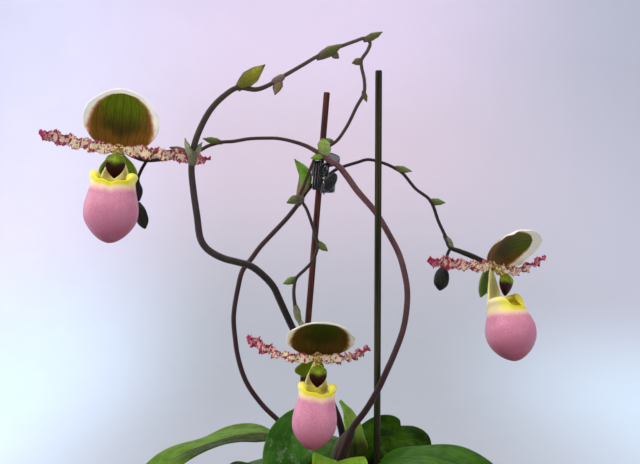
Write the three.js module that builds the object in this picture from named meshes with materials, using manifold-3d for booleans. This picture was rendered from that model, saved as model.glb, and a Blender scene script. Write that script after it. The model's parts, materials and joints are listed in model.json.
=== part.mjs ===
// A potted slipper orchid: three flowering stems, two support stakes and a small claw clip.
// Millimetres, +Z up. The origin is the middle of the pot's underside, and the flowers face -Y.
import * as THREE from 'three';
import { mergeVertices } from 'three/addons/utils/BufferGeometryUtils.js';
import Module from 'manifold-3d';

const wasm = await Module();
wasm.setup();

// Driving dimensions
const CLEARANCE = 0.3;
const POT = { height: 92, topRadius: 50, footRadius: 37, wall: 1.8, floor: 2.4, rimHeight: 11, rimLip: 2.6 };
const DRAIN = { count: 6, radius: 3.2, ring: 25, sides: 10 };
const MEDIUM = { top: 85, chips: 34, chipLength: 9, chipWidth: 5, chipHeight: 2.6 };
const CROWN = { bottom: 78, top: 97, radius: 5.2, shoulder: 4.2, topShare: 0.8 };
const STAKE_FOOT = 34;
const BROWN_STAKE = { foot: [-25.1, 8], top: [-4, 8, 291], radius: 1.6 };
const GREEN_STAKE = { foot: [20.4, -4], top: [21.6, -4, 300], radius: 1.7 };
const BLADE_THICKNESS = 0.75;
const LEAF_THICKNESS = 1.1;
const FLOWER_HUB = 3;
const STEM_SIDES = 6;
const STEM_STEP = 9;

const COLOUR = {
  pot: 0x4a3f38,
  bark: 0x5b4030,
  brownStake: 0x6b3a2c,
  greenStake: 0x2f3a22,
  clip: 0x0b0b0d,
  wire: 0x9a9a9a,
  stem: 0x5a4040,
  bud: 0x1d2718,
  crown: 0x6f8a3c,
  sepal: 0x5f7a2a,
  petal: 0xb98a88,
  pouch: 0xd88fa6,
  staminode: 0x5c6a22,
};

// Stem routes, base first. Each point is [x, y, z] and each radius belongs to the point at that share.
const ARCHED_STEM = {
  route: [
    [5.5, 6, 88], [5, 2, 104.5], [2.5, -3, 124.5], [-5, -5.5, 142.5], [-14, -8, 160.5], [-20.5, -11, 172.5],
    [-24.8, -13.5, 182], [-27.3, -16, 188], [-30, -19, 194], [-35.3, -23.5, 200.2], [-40.4, -28, 204.2],
    [-46, -31, 206], [-51.5, -34, 207.6], [-55.9, -36, 209.7], [-59.8, -37.5, 212.7], [-62.2, -38.5, 216.8],
    [-63.8, -39, 227.5], [-65.3, -40, 239], [-66.1, -40.5, 249], [-65, -41, 258.5], [-62, -40, 267.6],
    [-57.2, -39, 276.4], [-51.2, -37.5, 282.8], [-45.5, -36, 286.5], [-37, -34, 286], [-31, -32, 288.5],
    [-26.5, -31, 291.5], [-15.5, -28, 298.5], [-8.5, -26, 303], [-2.5, -24, 306], [8.5, -20, 311],
    [14.5, -18, 313], [16.6, -17.4, 311], [15.5, -17, 307.5], [12.5, -15, 303], [12.7, -14.5, 299.5],
    [14, -13, 294], [14, -11, 288], [10.5, -9, 281.5], [6, -6, 272.5], [1, -3, 265.5], [-2.5, -2, 263],
    [-8.5, -2, 259], [-12, -3, 252], [-15.5, -4, 243], [-17.3, -4, 237.5], [-14, -4, 231],
    [-11.5, -5, 224], [-9.5, -6, 217.5], [-8.5, -6, 214], [-11, -8, 206], [-14.5, -10, 202],
    [-19, -13, 197.5], [-20, -15, 193.5], [-20, -17, 188.5], [-18.5, -20, 181], [-17, -22, 177.5],
    [-14, -25, 171.5], [-11.2, -29, 164.2],
  ],
  radii: [1.8, 1.75, 1.7, 1.7, 1.65, 1.5, 1.35, 0.95, 0.85, 0.85, 0.8, 0.8, 0.85, 1.2],
};
const RIGHT_STEM = {
  route: [
    [1, -12, 88], [1.5, -12, 107], [4.5, -12, 116], [8, -12, 124], [15, -12, 133.5], [20.5, -11, 142.5],
    [25.5, -9, 152.5], [29.5, -7, 161], [33.5, -5, 171.5], [35.5, -3, 181.5], [36, -1, 191], [34.5, 1, 201],
    [32, 3, 209.5], [28, 4, 217.5], [20.5, 4, 230], [11, 2, 241], [5.5, 0, 248.5], [1.5, -2, 253],
    [-3, -3.6, 255.5], [-6.5, -5, 258], [-13.5, -7, 262], [-19.5, -9, 264], [-27.5, -12, 265.5],
    [-33.5, -14, 265.5], [-41.5, -16, 265], [-49.5, -18, 263.5], [-54.5, -19.5, 263], [-61, -21, 261],
    [-65.5, -21.5, 258.5], [-71, -21.5, 257.5], [-78.5, -20.5, 255.5], [-85.5, -20, 254.5],
    [-91.5, -19.5, 254.5], [-97, -21, 256.5], [-100.5, -25, 258.6],
  ],
  radii: [1.6, 1.6, 1.55, 1.5, 1.5, 1.5, 1.55, 0.9, 0.85, 0.9, 1.2],
  side: [
    [-90.5, -19.5, 254.2], [-93.5, -18, 249.5], [-95.2, -17.5, 245], [-94.6, -17.5, 239.5],
    [-95, -17.8, 234.5],
  ],
  sideRadii: [0.8, 0.8, 0.9, 1.9, 0.9],
};
const LEFT_STEM = {
  route: [
    [-6.5, 14, 88], [-8.5, 15, 97], [-15.5, 17, 109.5], [-29, 18, 122], [-37.5, 17, 130.5],
    [-45.5, 15, 142.5], [-49.5, 13, 155], [-51, 11, 166], [-51.5, 9, 177], [-49, 5, 191.5],
    [-46.5, 3, 200.5], [-42, 2, 206.5], [-37.5, 1, 212.5], [-31, 1, 219.5], [-24, 1.5, 227],
    [-18.5, 2.5, 234], [-15, 3.5, 239.5], [-11.5, 4, 243.5], [-5, 4, 247.5], [0.5, 5, 251.5], [4, 6, 253],
    [11.5, 9, 255.5], [17, 10, 257], [24, 10, 255.5], [30, 10, 253], [34.5, 9, 250], [41, 7, 242],
    [48, 4, 236], [52, 1, 225], [55, -1, 218], [57, -3, 212.5], [62, -3, 210.4], [68, -3, 208],
    [73, -3, 205.6],
  ],
  radii: [
    1.4, 1.38, 1.35, 1.33, 1.3, 1.28, 1.25, 1.25, 1.25, 1.25, 1.25, 1.2, 1.15, 1, 0.85, 0.83, 0.8, 0.8,
    0.8, 0.83, 0.85, 1.3, 1.42,
  ],
  side: [[58.4, -2.4, 213.4], [56.8, -1.2, 210.6], [55.6, 0, 207], [54.4, 1, 203]],
  sideRadii: [0.8, 0.8, 0.9],
};

// Bracts: where each starts on its stem, where its tip is, its half width and the way its back faces.
// curl is how far its sides bend round, against its half width.
const BRACTS = {
  arched: [
    { base: [-45.5, -36, 285.5], tip: [-32.8, -37, 297], half: 3.7, back: [0.5, -1, -0.4] },
    { base: [-26.5, -31, 292], tip: [-28.3, -33.5, 283.5], half: 2.3, back: [-0.3, -1, 0] },
    { base: [-9.5, -26, 302], tip: [3.5, -24, 309], half: 2.5, back: [0.2, -1, 0.4] },
    { base: [-2.5, -24, 305.5], tip: [1.5, -25.5, 302], half: 1.7, back: [0, -1, -0.3] },
    { base: [13, -18.3, 312], tip: [22.5, -17, 316.2], half: 2.1, back: [-0.3, -1, 0.5] },
    { base: [13, -15.2, 303.5], tip: [8, -15.2, 301.5], half: 1.8, back: [0, -1, 0.2] },
    { base: [13.6, -11.2, 289], tip: [15.2, -11, 283.5], half: 1.3, back: [0.4, -1, 0] },
    { base: [-0.5, -2.4, 264.6], tip: [-4.5, -1.4, 266.6], half: 1.2, back: [0, -1, 0.6] },
    { base: [-17, -4, 237], tip: [-24, -4.5, 234.5], half: 2.1, back: [-0.2, -1, -0.4] },
    { base: [-8.8, -6, 215.5], tip: [-3.8, -6.5, 210.5], half: 1.9, back: [0.5, -1, 0.2] },
    { base: [-19, -13, 198], tip: [-25.3, -13.4, 194.8], half: 1.9, back: [-0.2, -1, 0.5] },
    { base: [-20, -18, 185.5], tip: [-16.5, -23.5, 175.5], half: 2, back: [-0.6, -1, -0.2] },
    { base: [-65.6, -40.5, 252], tip: [-68.6, -43, 262.5], half: 2.4, back: [-1, -0.6, 0] },
    { base: [-66.1, -40.5, 252], tip: [-61.6, -39, 261], half: 2.4, back: [1, -0.4, 0] },
  ],
  right: [
    {
      base: [-4.6, -4.9, 257.6], tip: [-6.4, -6.8, 266], half: 3.3, curl: 0.3, blunt: true,
      back: [0.3, -1, 0.2],
    },
    { base: [-5.5, -5.2, 257.6], tip: [-12, -6.8, 256.4], half: 1.6, back: [-0.2, -1, -0.5] },
    { base: [-54, -19.5, 263], tip: [-63.4, -21.4, 264.4], half: 1.8, back: [0, -1, 0.5] },
    { base: [-70, -21.8, 257.8], tip: [-79, -22.6, 260.2], half: 1.8, back: [0, -1, 0.5] },
    {
      base: [1, -11, 99], middle: [2.5, -10.6, 113], tip: [10.5, -10.2, 127.5], half: 3.5,
      back: [-0.2, -1, 0.1],
    },
  ],
  left: [
    {
      base: [-18, 1.8, 237], middle: [-14.4, 0.4, 248], tip: [-20.3, -0.5, 256.5], half: 3.2,
      back: [0.2, -1, 0],
    },
    { base: [-17, 2.8, 237], tip: [-22.4, 0.5, 235.7], half: 1.5, back: [-0.3, -1, 0.3] },
    { base: [30, 10, 253.2], tip: [39.2, 8.6, 250.8], half: 1.9, back: [0, -1, 0.6] },
    { base: [47.5, 4, 236], tip: [55.5, 3, 234.6], half: 1.9, back: [0, -1, 0.5] },
    { base: [54.5, -0.5, 218.5], tip: [58.5, -3.2, 213.5], half: 1.6, back: [0.6, -1, 0] },
  ],
};

// Leaves: midrib points from the crown outwards, half widths at even shares, and the leaf's own colour.
const LEAVES = {
  leaf_long_left: {
    colour: 0x6f9a3c, twist: 0, fold: 0.04, wave: 1.4, back: [0, 0, -1],
    spine: [
      [-8, 13, 90], [-19, 7, 108], [-32, 3, 118], [-46, -1, 119], [-62, -7, 116], [-78, -13, 110.5],
      [-92, -20, 101], [-106, -27, 87],
    ],
    half: [3, 6, 13, 16, 16, 13.5, 9, 1],
  },
  leaf_front_dark: {
    colour: 0x2e5a2c, twist: 0, fold: 0.3, wave: 0.6, back: [-0.2, 1, -0.5],
    spine: [[-1, -14, 93], [-9, -21, 98], [-19, -25, 107], [-21.5, -22, 120], [-15, -13, 137]],
    half: [3, 8, 14.5, 15, 12, 7, 0.8],
  },
  leaf_small_left: {
    colour: 0x2c4a26, twist: 0, fold: 0.1, wave: 1, back: [0, 0, -1],
    spine: [[-2, -10, 91], [-14, -11, 98], [-29, -16, 102.5], [-43, -26, 99], [-59, -38, 84]],
    half: [2.4, 5, 8.5, 11, 10, 7, 1],
  },
  leaf_big_right: {
    colour: 0x79b33a, twist: 8, fold: 0.05, wave: 1.2, back: [0, 0, -1],
    spine: [[8, 3, 90], [19, -7, 104], [36, -12, 110.5], [56, -17, 108.5], [76, -24, 99], [100, -34, 80]],
    half: [2.6, 12, 19, 21.5, 20.5, 15, 1],
  },
  leaf_wavy_back_right: {
    colour: 0x2f5424, twist: 0, fold: 0.15, wave: 3.4, back: [-0.2, 0.8, -0.6],
    spine: [[6, 11, 92], [13, 15, 105], [24, 18, 113.5], [35, 21, 111], [42.5, 23.5, 111], [52, 27, 101]],
    half: [6, 8.5, 10.5, 10.5, 9, 6.5, 1],
  },
  leaf_small_upright: {
    colour: 0x8fbf4c, twist: 0, fold: 0.35, wave: 1.2, back: [-0.3, 1, -0.2],
    spine: [[7, 7, 93], [9.5, 7.5, 104], [9.5, 7, 116], [7, 6, 127], [2.6, 4.5, 135]],
    half: [2.4, 4.4, 5.8, 5.8, 4.4, 2.6, 0.8],
  },
  leaf_low_front: {
    colour: 0x86b548, twist: 0, fold: 0.3, wave: 1, back: [0, 0, -1],
    spine: [[2, -15, 90], [1.5, -23, 104], [1, -34, 111], [2, -52, 104], [3, -74, 84]],
    half: [2.4, 7, 10.5, 12.5, 11, 7, 1],
  },
  leaf_back_left: {
    colour: 0x3f6b2c, twist: 0, fold: 0.22, wave: 1.4, back: [0, 0, -1],
    spine: [[-9, 16, 89], [-24, 28, 96], [-40, 40, 94], [-56, 52, 85], [-72, 62, 84]],
    half: [2.4, 7, 13, 16, 15, 11, 1],
  },
  leaf_back: {
    colour: 0x47772f, twist: 0, fold: 0.22, wave: 1.4, back: [0, 0, -1],
    spine: [[-6, 18, 90], [-1, 34, 104], [4, 52, 105], [8, 71, 97], [11, 88, 80]],
    half: [2.4, 7, 12, 15, 14, 10, 1],
  },
  leaf_back_right: {
    colour: 0x3f6b2c, twist: 0, fold: 0.22, wave: 1.4, back: [0, 0, -1],
    spine: [[7, 10, 88], [24, 24, 99], [42, 35, 102], [62, 46, 96], [82, 56, 82]],
    half: [2.4, 7, 13, 16, 15, 11, 1],
  },
};

// Flowers: place of the centre, turns in degrees and size. The pouch hangs drop below the hub, is set forward
// from it, swings forward at its foot and is girth broad. The hood leans forward and may turn or roll further
// than the flower, and the synsepal behind the pouch leans back and may turn too. Petals have a length, a
// backward sweep, a rise to the tip and a sag between.
const FLOWERS = {
  flower_left: {
    centre: [-101.6, -30, 258.2], yaw: 6, roll: 4.5, size: 1,
    drop: 0.4, forward: 11, swing: 0, girth: 0.99,
    hood: { lean: 18, turn: 0, roll: 3, scale: 1 }, behind: { length: 21, leanBack: 32 },
    petalLeft: { length: 36.5, sweep: -2, rise: 4.6, sag: 0 },
    petalRight: { length: 43, sweep: -4, rise: -0.9, sag: 0 },
  },
  flower_bottom: {
    centre: [-8.8, -35, 162], yaw: 7, roll: 5, size: 0.88,
    drop: 3, forward: 11, swing: 0, girth: 0.92,
    hood: { lean: 39, turn: 0, roll: 0, scale: 1.02 }, behind: { length: 15, leanBack: 60, turn: 28 },
    petalLeft: { length: 40, sweep: 22, rise: 6.2, sag: 2.4 },
    petalRight: { length: 39, sweep: 38, rise: 3.6, sag: 0.8 },
  },
  flower_right: {
    centre: [76.8, -4.6, 203.4], yaw: 55, roll: 5, size: 0.95,
    drop: 7.7, forward: 3.6, swing: 14.8, girth: 1.15,
    hood: { lean: 41, turn: 20, roll: 27, scale: 1.1, broad: 0.97 }, behind: { length: 16, leanBack: 16 },
    petalLeft: { length: 40, sweep: 28, rise: 0, sag: 1.2 },
    petalRight: { length: 41, sweep: -20, rise: 7, sag: 4.2 },
  },
};
const DORSAL = {
  length: 28.6, halfWidth: 17.4, base: 2.2, cup: 4.5, setBack: 1.8, lowBulge: 0.28, highBulge: 0.5,
};
const SYNSEPAL = { half: [2, 6.4, 8.8, 8.6, 6, 0.8], cup: 2.4 };
const PETAL = {
  half: [1.5, 2.8, 3.2, 3.2, 3.1, 3.1, 3.2, 0.9], wave: 1.3, waves: 5, twist: 35, forward: 0.9, bow: 1.2,
};
const POUCH = {
  wall: 1, sides: 14, ear: 3, earRoll: 2.6, dip: 2.6,
  levels: [-12.6, -15.6, -20.5, -26.5, -32.5, -37.8, -41.6, -43],
  halfWidths: [10.6, 10.1, 11.1, 12.4, 12, 8.8, 4.4, 0.8],
  halfDepths: [8.2, 8.5, 9.8, 11, 10.4, 7.8, 3.9, 0.7],
};
const CLAW = { half: [1.7, 5, 7.2], cup: [0.2, 2.4, 4] };
const STAMINODE = { halfWidth: 4.6, halfDepth: 2, halfHeight: 5.4, place: [0, -8.6, -7.6] };

const point = (p) => new THREE.Vector3(...p);
const radians = THREE.MathUtils.degToRad;

// A value between evenly spaced ones, on a smooth curve through them.
function spline(values, share) {
  const last = values.length - 1;
  const place = Math.min(Math.max(share, 0), 1) * last;
  const i = Math.min(Math.floor(place), last - 1);
  const before = values[Math.max(i - 1, 0)];
  const after = values[Math.min(i + 2, last)];
  const t = place - i;
  const slopeA = (values[i + 1] - before) / 2;
  const slopeB = (after - values[i]) / 2;
  const drop = values[i] - values[i + 1];
  const square = -3 * drop - 2 * slopeA - slopeB;
  const cube = 2 * drop + slopeA + slopeB;
  return values[i] + slopeA * t + square * t ** 2 + cube * t ** 3;
}

function geometryOf(vertices, triangles) {
  let volume = 0;
  const cross = new THREE.Vector3();
  for (const [a, b, c] of triangles) {
    volume += vertices[a].dot(cross.crossVectors(vertices[b], vertices[c]));
  }
  const turned = volume < 0 ? triangles.map(([a, b, c]) => [a, c, b]) : triangles;
  const geometry = new THREE.BufferGeometry();
  const numbers = vertices.flatMap((v) => v.toArray());
  geometry.setAttribute('position', new THREE.Float32BufferAttribute(numbers, 3));
  geometry.setIndex(turned.flat());
  return geometry;
}

// A closed solid from rings of points: each ring joins the next, and both end rings are closed by a fan.
function ringSolid(rings) {
  const sides = rings[0].length;
  const vertices = rings.flat();
  const triangles = [];
  for (let i = 0; i + 1 < rings.length; i += 1) {
    for (let j = 0; j < sides; j += 1) {
      const a = i * sides + j;
      const b = i * sides + ((j + 1) % sides);
      triangles.push([a, b, b + sides], [a, b + sides, a + sides]);
    }
  }
  for (const [ring, flip] of [[0, false], [rings.length - 1, true]]) {
    const middle = new THREE.Vector3();
    rings[ring].forEach((v) => middle.addScaledVector(v, 1 / sides));
    vertices.push(middle);
    for (let j = 0; j < sides; j += 1) {
      const a = ring * sides + j;
      const b = ring * sides + ((j + 1) % sides);
      triangles.push(flip ? [a, b, vertices.length - 1] : [b, a, vertices.length - 1]);
    }
  }
  return geometryOf(vertices, triangles);
}

function manifoldOf(geometry) {
  const bare = geometry.clone();
  bare.deleteAttribute('normal');
  bare.deleteAttribute('uv');
  const merged = mergeVertices(bare, 1e-4);
  return new wasm.Manifold(new wasm.Mesh({
    numProp: 3,
    vertProperties: new Float32Array(merged.attributes.position.array),
    triVerts: new Uint32Array(merged.index.array),
  }));
}

function geometryFrom(manifold) {
  const mesh = manifold.getMesh();
  const geometry = new THREE.BufferGeometry();
  geometry.setAttribute('position', new THREE.BufferAttribute(new Float32Array(mesh.vertProperties), 3));
  geometry.setIndex(new THREE.BufferAttribute(new Uint32Array(mesh.triVerts), 1));
  return geometry;
}

// The largest piece of a solid, without loose scraps.
function mainPiece(manifold) {
  return manifold.decompose().sort((a, b) => b.volume() - a.volume())[0];
}

function joined(geometries) {
  return geometries.map(manifoldOf).reduce((whole, piece) => whole.add(piece));
}

function meshOf(name, geometry, colour, roughness = 0.6, metalness = 0) {
  const material = new THREE.MeshStandardMaterial({ color: colour, roughness, metalness });
  const mesh = new THREE.Mesh(geometry, material);
  mesh.name = name;
  return mesh;
}

// A round tube along a curve, with its radius changing from end to end.
function taperedTube(route, radii, sides = STEM_SIDES, extra = 0, step = STEM_STEP) {
  const curve = new THREE.CatmullRomCurve3(route.map(point), false, 'centripetal');
  const count = Math.max(2, Math.round(curve.getLength() / step));
  const frames = curve.computeFrenetFrames(count, false);
  const rings = [];
  for (let i = 0; i <= count; i += 1) {
    const centre = curve.getPointAt(i / count);
    const radius = spline(radii, i / count) + extra;
    rings.push(Array.from({ length: sides }, (_, j) => {
      const angle = (2 * Math.PI * j) / sides;
      return centre.clone()
        .addScaledVector(frames.normals[i], radius * Math.cos(angle))
        .addScaledVector(frames.binormals[i], radius * Math.sin(angle));
    }));
  }
  return ringSolid(rings);
}

// A straight round bar between two points.
function bar(from, to, radius, sides = 12) {
  return taperedTube([from, to], [radius, radius], sides, 0, 1000);
}

// A thin blade along a spine. shape(u, t) gives how far a place lies to the side and off the spine,
// with u from -1 to 1 across and t from 0 to 1 along.
function blade({ spine, back, shape, thickness = BLADE_THICKNESS, rows = 12, columns = 4, turn = 0 }) {
  const curve = new THREE.CatmullRomCurve3(spine.map(point), false, 'centripetal');
  const backward = point(back).normalize();
  const place = (u, t) => {
    const along = curve.getTangentAt(Math.min(Math.max(t, 0), 1));
    const side = new THREE.Vector3().crossVectors(along, backward).normalize();
    const off = new THREE.Vector3().crossVectors(side, along).normalize();
    const angle = radians(turn) * t;
    const sideTurned = side.clone().applyAxisAngle(along, angle);
    const offTurned = off.clone().applyAxisAngle(along, angle);
    const [sideways, away] = shape(u, t);
    return curve.getPointAt(Math.min(Math.max(t, 0), 1))
      .addScaledVector(sideTurned, sideways)
      .addScaledVector(offTurned, away);
  };
  const small = 0.01;
  const faces = [[], []];
  for (let i = 0; i <= rows; i += 1) {
    for (let j = 0; j <= columns; j += 1) {
      const t = i / rows;
      const u = (2 * j) / columns - 1;
      const here = place(u, t);
      const across = place(Math.min(u + small, 1), t).sub(place(Math.max(u - small, -1), t));
      const forward = place(u, Math.min(t + small, 1)).sub(place(u, Math.max(t - small, 0)));
      const normal = across.cross(forward).normalize().multiplyScalar(thickness / 2);
      faces[0].push(here.clone().add(normal));
      faces[1].push(here.clone().sub(normal));
    }
  }
  const stride = columns + 1;
  const below = faces[0].length;
  const triangles = [];
  for (let i = 0; i < rows; i += 1) {
    for (let j = 0; j < columns; j += 1) {
      const a = i * stride + j;
      const d = a + stride;
      triangles.push([a, a + 1, d + 1], [a, d + 1, d]);
      triangles.push([below + a, below + d + 1, below + a + 1], [below + a, below + d, below + d + 1]);
    }
  }
  const edge = [];
  for (let j = 0; j < columns; j += 1) edge.push(j);
  for (let i = 0; i < rows; i += 1) edge.push(i * stride + columns);
  for (let j = columns; j > 0; j -= 1) edge.push(rows * stride + j);
  for (let i = rows; i > 0; i -= 1) edge.push(i * stride);
  edge.forEach((a, k) => {
    const b = edge[(k + 1) % edge.length];
    triangles.push([b, a, below + a], [b, below + a, below + b]);
  });
  return geometryOf([...faces[0], ...faces[1]], triangles);
}

// A pointed boat-shaped bract that clasps its stem.
function bract({ base, middle, tip, half, back, curl = 0.75, blunt = false }) {
  const outline = blunt ? [0.7, 1, 1, 0.9, 0.4] : [0.45, 0.9, 1, 0.7, 0.12];
  const from = point(base);
  const to = point(tip);
  const bulge = point(back).setLength(from.distanceTo(to) * 0.12);
  const passing = middle ?? from.clone().lerp(to, 0.5).add(bulge).toArray();
  return blade({
    spine: [base, passing, tip],
    back,
    rows: 4,
    columns: 2,
    shape: (u, t) => {
      const width = half * spline(outline, t);
      return [width * u, -width * curl * u * u];
    },
  });
}

function stem({ route, radii, side, sideRadii }, bracts) {
  const pieces = [taperedTube(route, radii)];
  if (side) pieces.push(taperedTube(side, sideRadii, STEM_SIDES, 0, STEM_STEP / 2));
  return joined([...pieces, ...bracts.map(bract)]);
}

function stemRoom({ route, radii }) {
  const low = route.slice(0, 5);
  const share = 4 / (route.length - 1);
  return manifoldOf(taperedTube(low, [radii[0], spline(radii, share)], 8, CLEARANCE + 0.15, 4));
}

// A stake, or the room it takes: wider by extra, and deeper at its foot.
function stakeBar({ foot, top, radius }, extra = 0) {
  return bar([...foot, STAKE_FOOT - 2 * extra], top, radius + extra);
}

// A crown stands at x, y. extra widens it to the room it takes.
function crownAt(x, y, base, extra = 0) {
  const { bottom, top, radius, shoulder, topShare } = CROWN;
  const profile = [
    [0, bottom - extra], [radius + extra, bottom - extra], [radius + extra, top - shoulder],
    [radius * topShare + extra, top + extra], [0, top + extra],
  ];
  const geometry = new THREE.LatheGeometry(profile.map((p) => new THREE.Vector2(...p)), 10);
  return geometry.rotateX(Math.PI / 2).translate(x, y, 0);
}

function potGeometry() {
  const { height, topRadius, footRadius, wall, floor, rimHeight, rimLip } = POT;
  const rimFoot = height - rimHeight;
  const slope = (topRadius - rimLip - footRadius) / height;
  const outer = (z) => footRadius + slope * z;
  const profile = [
    [0, 0], [footRadius, 0], [outer(rimFoot), rimFoot], [topRadius - 0.6, rimFoot], [topRadius, height],
    [topRadius - 1.4, height], [outer(height) - wall, height - 2], [outer(floor) - wall, floor], [0, floor],
  ];
  const shell = new THREE.LatheGeometry(profile.map((p) => new THREE.Vector2(...p)), 36).rotateX(Math.PI / 2);
  let pot = manifoldOf(shell);
  for (let i = 0; i < DRAIN.count; i += 1) {
    const angle = (2 * Math.PI * i) / DRAIN.count;
    const hole = new THREE.CylinderGeometry(DRAIN.radius, DRAIN.radius, floor * 3, DRAIN.sides)
      .rotateX(Math.PI / 2)
      .translate(DRAIN.ring * Math.cos(angle), DRAIN.ring * Math.sin(angle), floor / 2);
    pot = pot.subtract(manifoldOf(hole));
  }
  return geometryFrom(pot);
}

// A small repeatable random number maker for the bark chips.
function randomFrom(seed) {
  let state = seed;
  return () => {
    state = (state * 1664525 + 1013904223) % 4294967296;
    return state / 4294967296;
  };
}

function barkChips() {
  const random = randomFrom(7);
  const { top, chips, chipLength, chipWidth, chipHeight } = MEDIUM;
  const spread = POT.topRadius - POT.rimLip - POT.wall - 7;
  const goldenAngle = Math.PI * (3 - Math.sqrt(5));
  return Array.from({ length: chips }, (_, i) => {
    const radius = spread * Math.sqrt((i + 0.5) / chips);
    const size = 0.75 + 0.5 * random();
    const chip = new THREE.BoxGeometry(chipLength * size, chipWidth * size, chipHeight * 2);
    chip.rotateX(radians(20 * (random() - 0.5)));
    chip.rotateY(radians(24 * (random() - 0.5)));
    chip.rotateZ(2 * Math.PI * random());
    const angle = i * goldenAngle;
    return chip.translate(radius * Math.cos(angle), radius * Math.sin(angle), top - 0.6 + random());
  });
}

function mediumGeometry(rooms) {
  const { topRadius, footRadius, wall, floor, rimLip, height } = POT;
  const slope = (topRadius - rimLip - footRadius) / height;
  const inner = (z) => footRadius + slope * z - wall - CLEARANCE;
  const low = floor + CLEARANCE;
  const profile = [[0, low], [inner(low), low], [inner(MEDIUM.top), MEDIUM.top], [0, MEDIUM.top]];
  const plug = new THREE.LatheGeometry(profile.map((p) => new THREE.Vector2(...p)), 32).rotateX(Math.PI / 2);
  const filled = joined([plug, ...barkChips()]);
  return geometryFrom(mainPiece(rooms.reduce((rest, room) => rest.subtract(room), filled)));
}

function leafSolid({ spine, half, twist, fold, wave, back }, extra = 0) {
  return manifoldOf(blade({
    spine,
    back,
    thickness: LEAF_THICKNESS + extra,
    rows: 12,
    columns: 4,
    turn: twist,
    shape: (u, t) => {
      const width = spline(half, t) + extra / 2;
      const ripple = wave * u * u * Math.sin(t * 17 + u * 1.7) * Math.sin(Math.PI * t);
      return [width * u, -width * fold * Math.abs(u) + ripple];
    },
  }));
}

function dorsalSepal({ lean, turn, roll, scale, broad = 1 }) {
  const { length, halfWidth, base, cup, setBack, lowBulge, highBulge } = DORSAL;
  const spine = [0, 0.25, 0.5, 0.75, 1].map((t) => {
    const angle = radians(lean * (0.35 + 0.9 * t));
    const reach = scale * length * t;
    return [0, setBack - reach * Math.sin(angle), 1 + reach * Math.cos(angle)];
  });
  const flat = blade({
    spine,
    back: [0, 1, 0.001],
    rows: 9,
    columns: 6,
    shape: (u, t) => {
      const bulge = Math.sin(Math.PI * Math.min(t, 0.999)) ** (t < 0.5 ? lowBulge : highBulge);
      const width = Math.max(base, scale * broad * halfWidth * bulge);
      return [width * Math.sin(1.25 * u) / Math.sin(1.25), -cup * u * u * Math.sin(Math.PI * t)];
    },
  });
  return flat.rotateZ(radians(turn)).rotateY(radians(roll));
}

function synsepal({ length, leanBack, turn = 0 }) {
  const { half, cup } = SYNSEPAL;
  const spine = [0, 0.3, 0.65, 1].map((t) => {
    const angle = radians(leanBack * (1.2 - 0.5 * t));
    return [0, 1.6 + length * t * Math.sin(angle), -1 - length * t * Math.cos(angle)];
  });
  return blade({
    spine,
    back: [0, 1, 0],
    rows: 7,
    columns: 4,
    shape: (u, t) => [spline(half, t) * u, -cup * u * u * Math.sin(Math.PI * t)],
  }).rotateZ(radians(turn));
}

function petal(side, { length, sweep, rise, sag }, extra = 0) {
  const { half, wave, waves, twist, forward, bow } = PETAL;
  const reach = length * Math.cos(radians(sweep));
  const back = length * Math.sin(radians(sweep));
  return blade({
    spine: [0.04, 0.3, 0.6, 0.8, 1].map((t) => [
      side * reach * t,
      back * t * t - forward - bow * Math.sin(Math.PI * t),
      rise * t ** 1.5 - sag * Math.sin(Math.PI * t),
    ]),
    thickness: BLADE_THICKNESS + extra,
    back: [0, 1, 0.25],
    rows: 20,
    columns: 2,
    turn: side * twist,
    shape: (u, t) => {
      const width = spline(half, t) + extra / 2;
      const ripple = wave * u * Math.sin(2 * Math.PI * waves * t + u);
      return [width * u, ripple * Math.min(1, 4 * t)];
    },
  });
}

// How far round the mouth a place lies, from 0 degrees at its front to 180 at its back.
function roundMouth(angle) {
  return THREE.MathUtils.radToDeg(Math.atan2(Math.abs(Math.cos(angle)), -Math.sin(angle)));
}

// How much of an ear there is at a place on the pouch's edge: 1 at both sides of the mouth.
function earShare(angle) {
  const place = roundMouth(angle);
  return THREE.MathUtils.smoothstep(place, 48, 72) * (1 - THREE.MathUtils.smoothstep(place, 118, 150));
}

// How far the pouch's edge stands above its level: raised ears at the sides of the mouth, a dip in front.
function mouthLift(angle) {
  const front = Math.max(0, 1 - (roundMouth(angle) / 70) ** 2);
  return POUCH.ear * earShare(angle) - POUCH.dip * front;
}

// One ring of the pouch. The ears roll inwards, so that the inside stands further in there.
function pouchRing({ forward, level, halfWidth, halfDepth, lift, inset }) {
  return Array.from({ length: POUCH.sides }, (_, j) => {
    const angle = (2 * Math.PI * j) / POUCH.sides;
    const inward = inset * (1 + POUCH.earRoll * lift * earShare(angle));
    return new THREE.Vector3(
      (halfWidth - inward) * Math.cos(angle),
      (halfDepth - inward) * Math.sin(angle) - forward,
      level + lift * mouthLift(angle),
    );
  });
}

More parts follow.
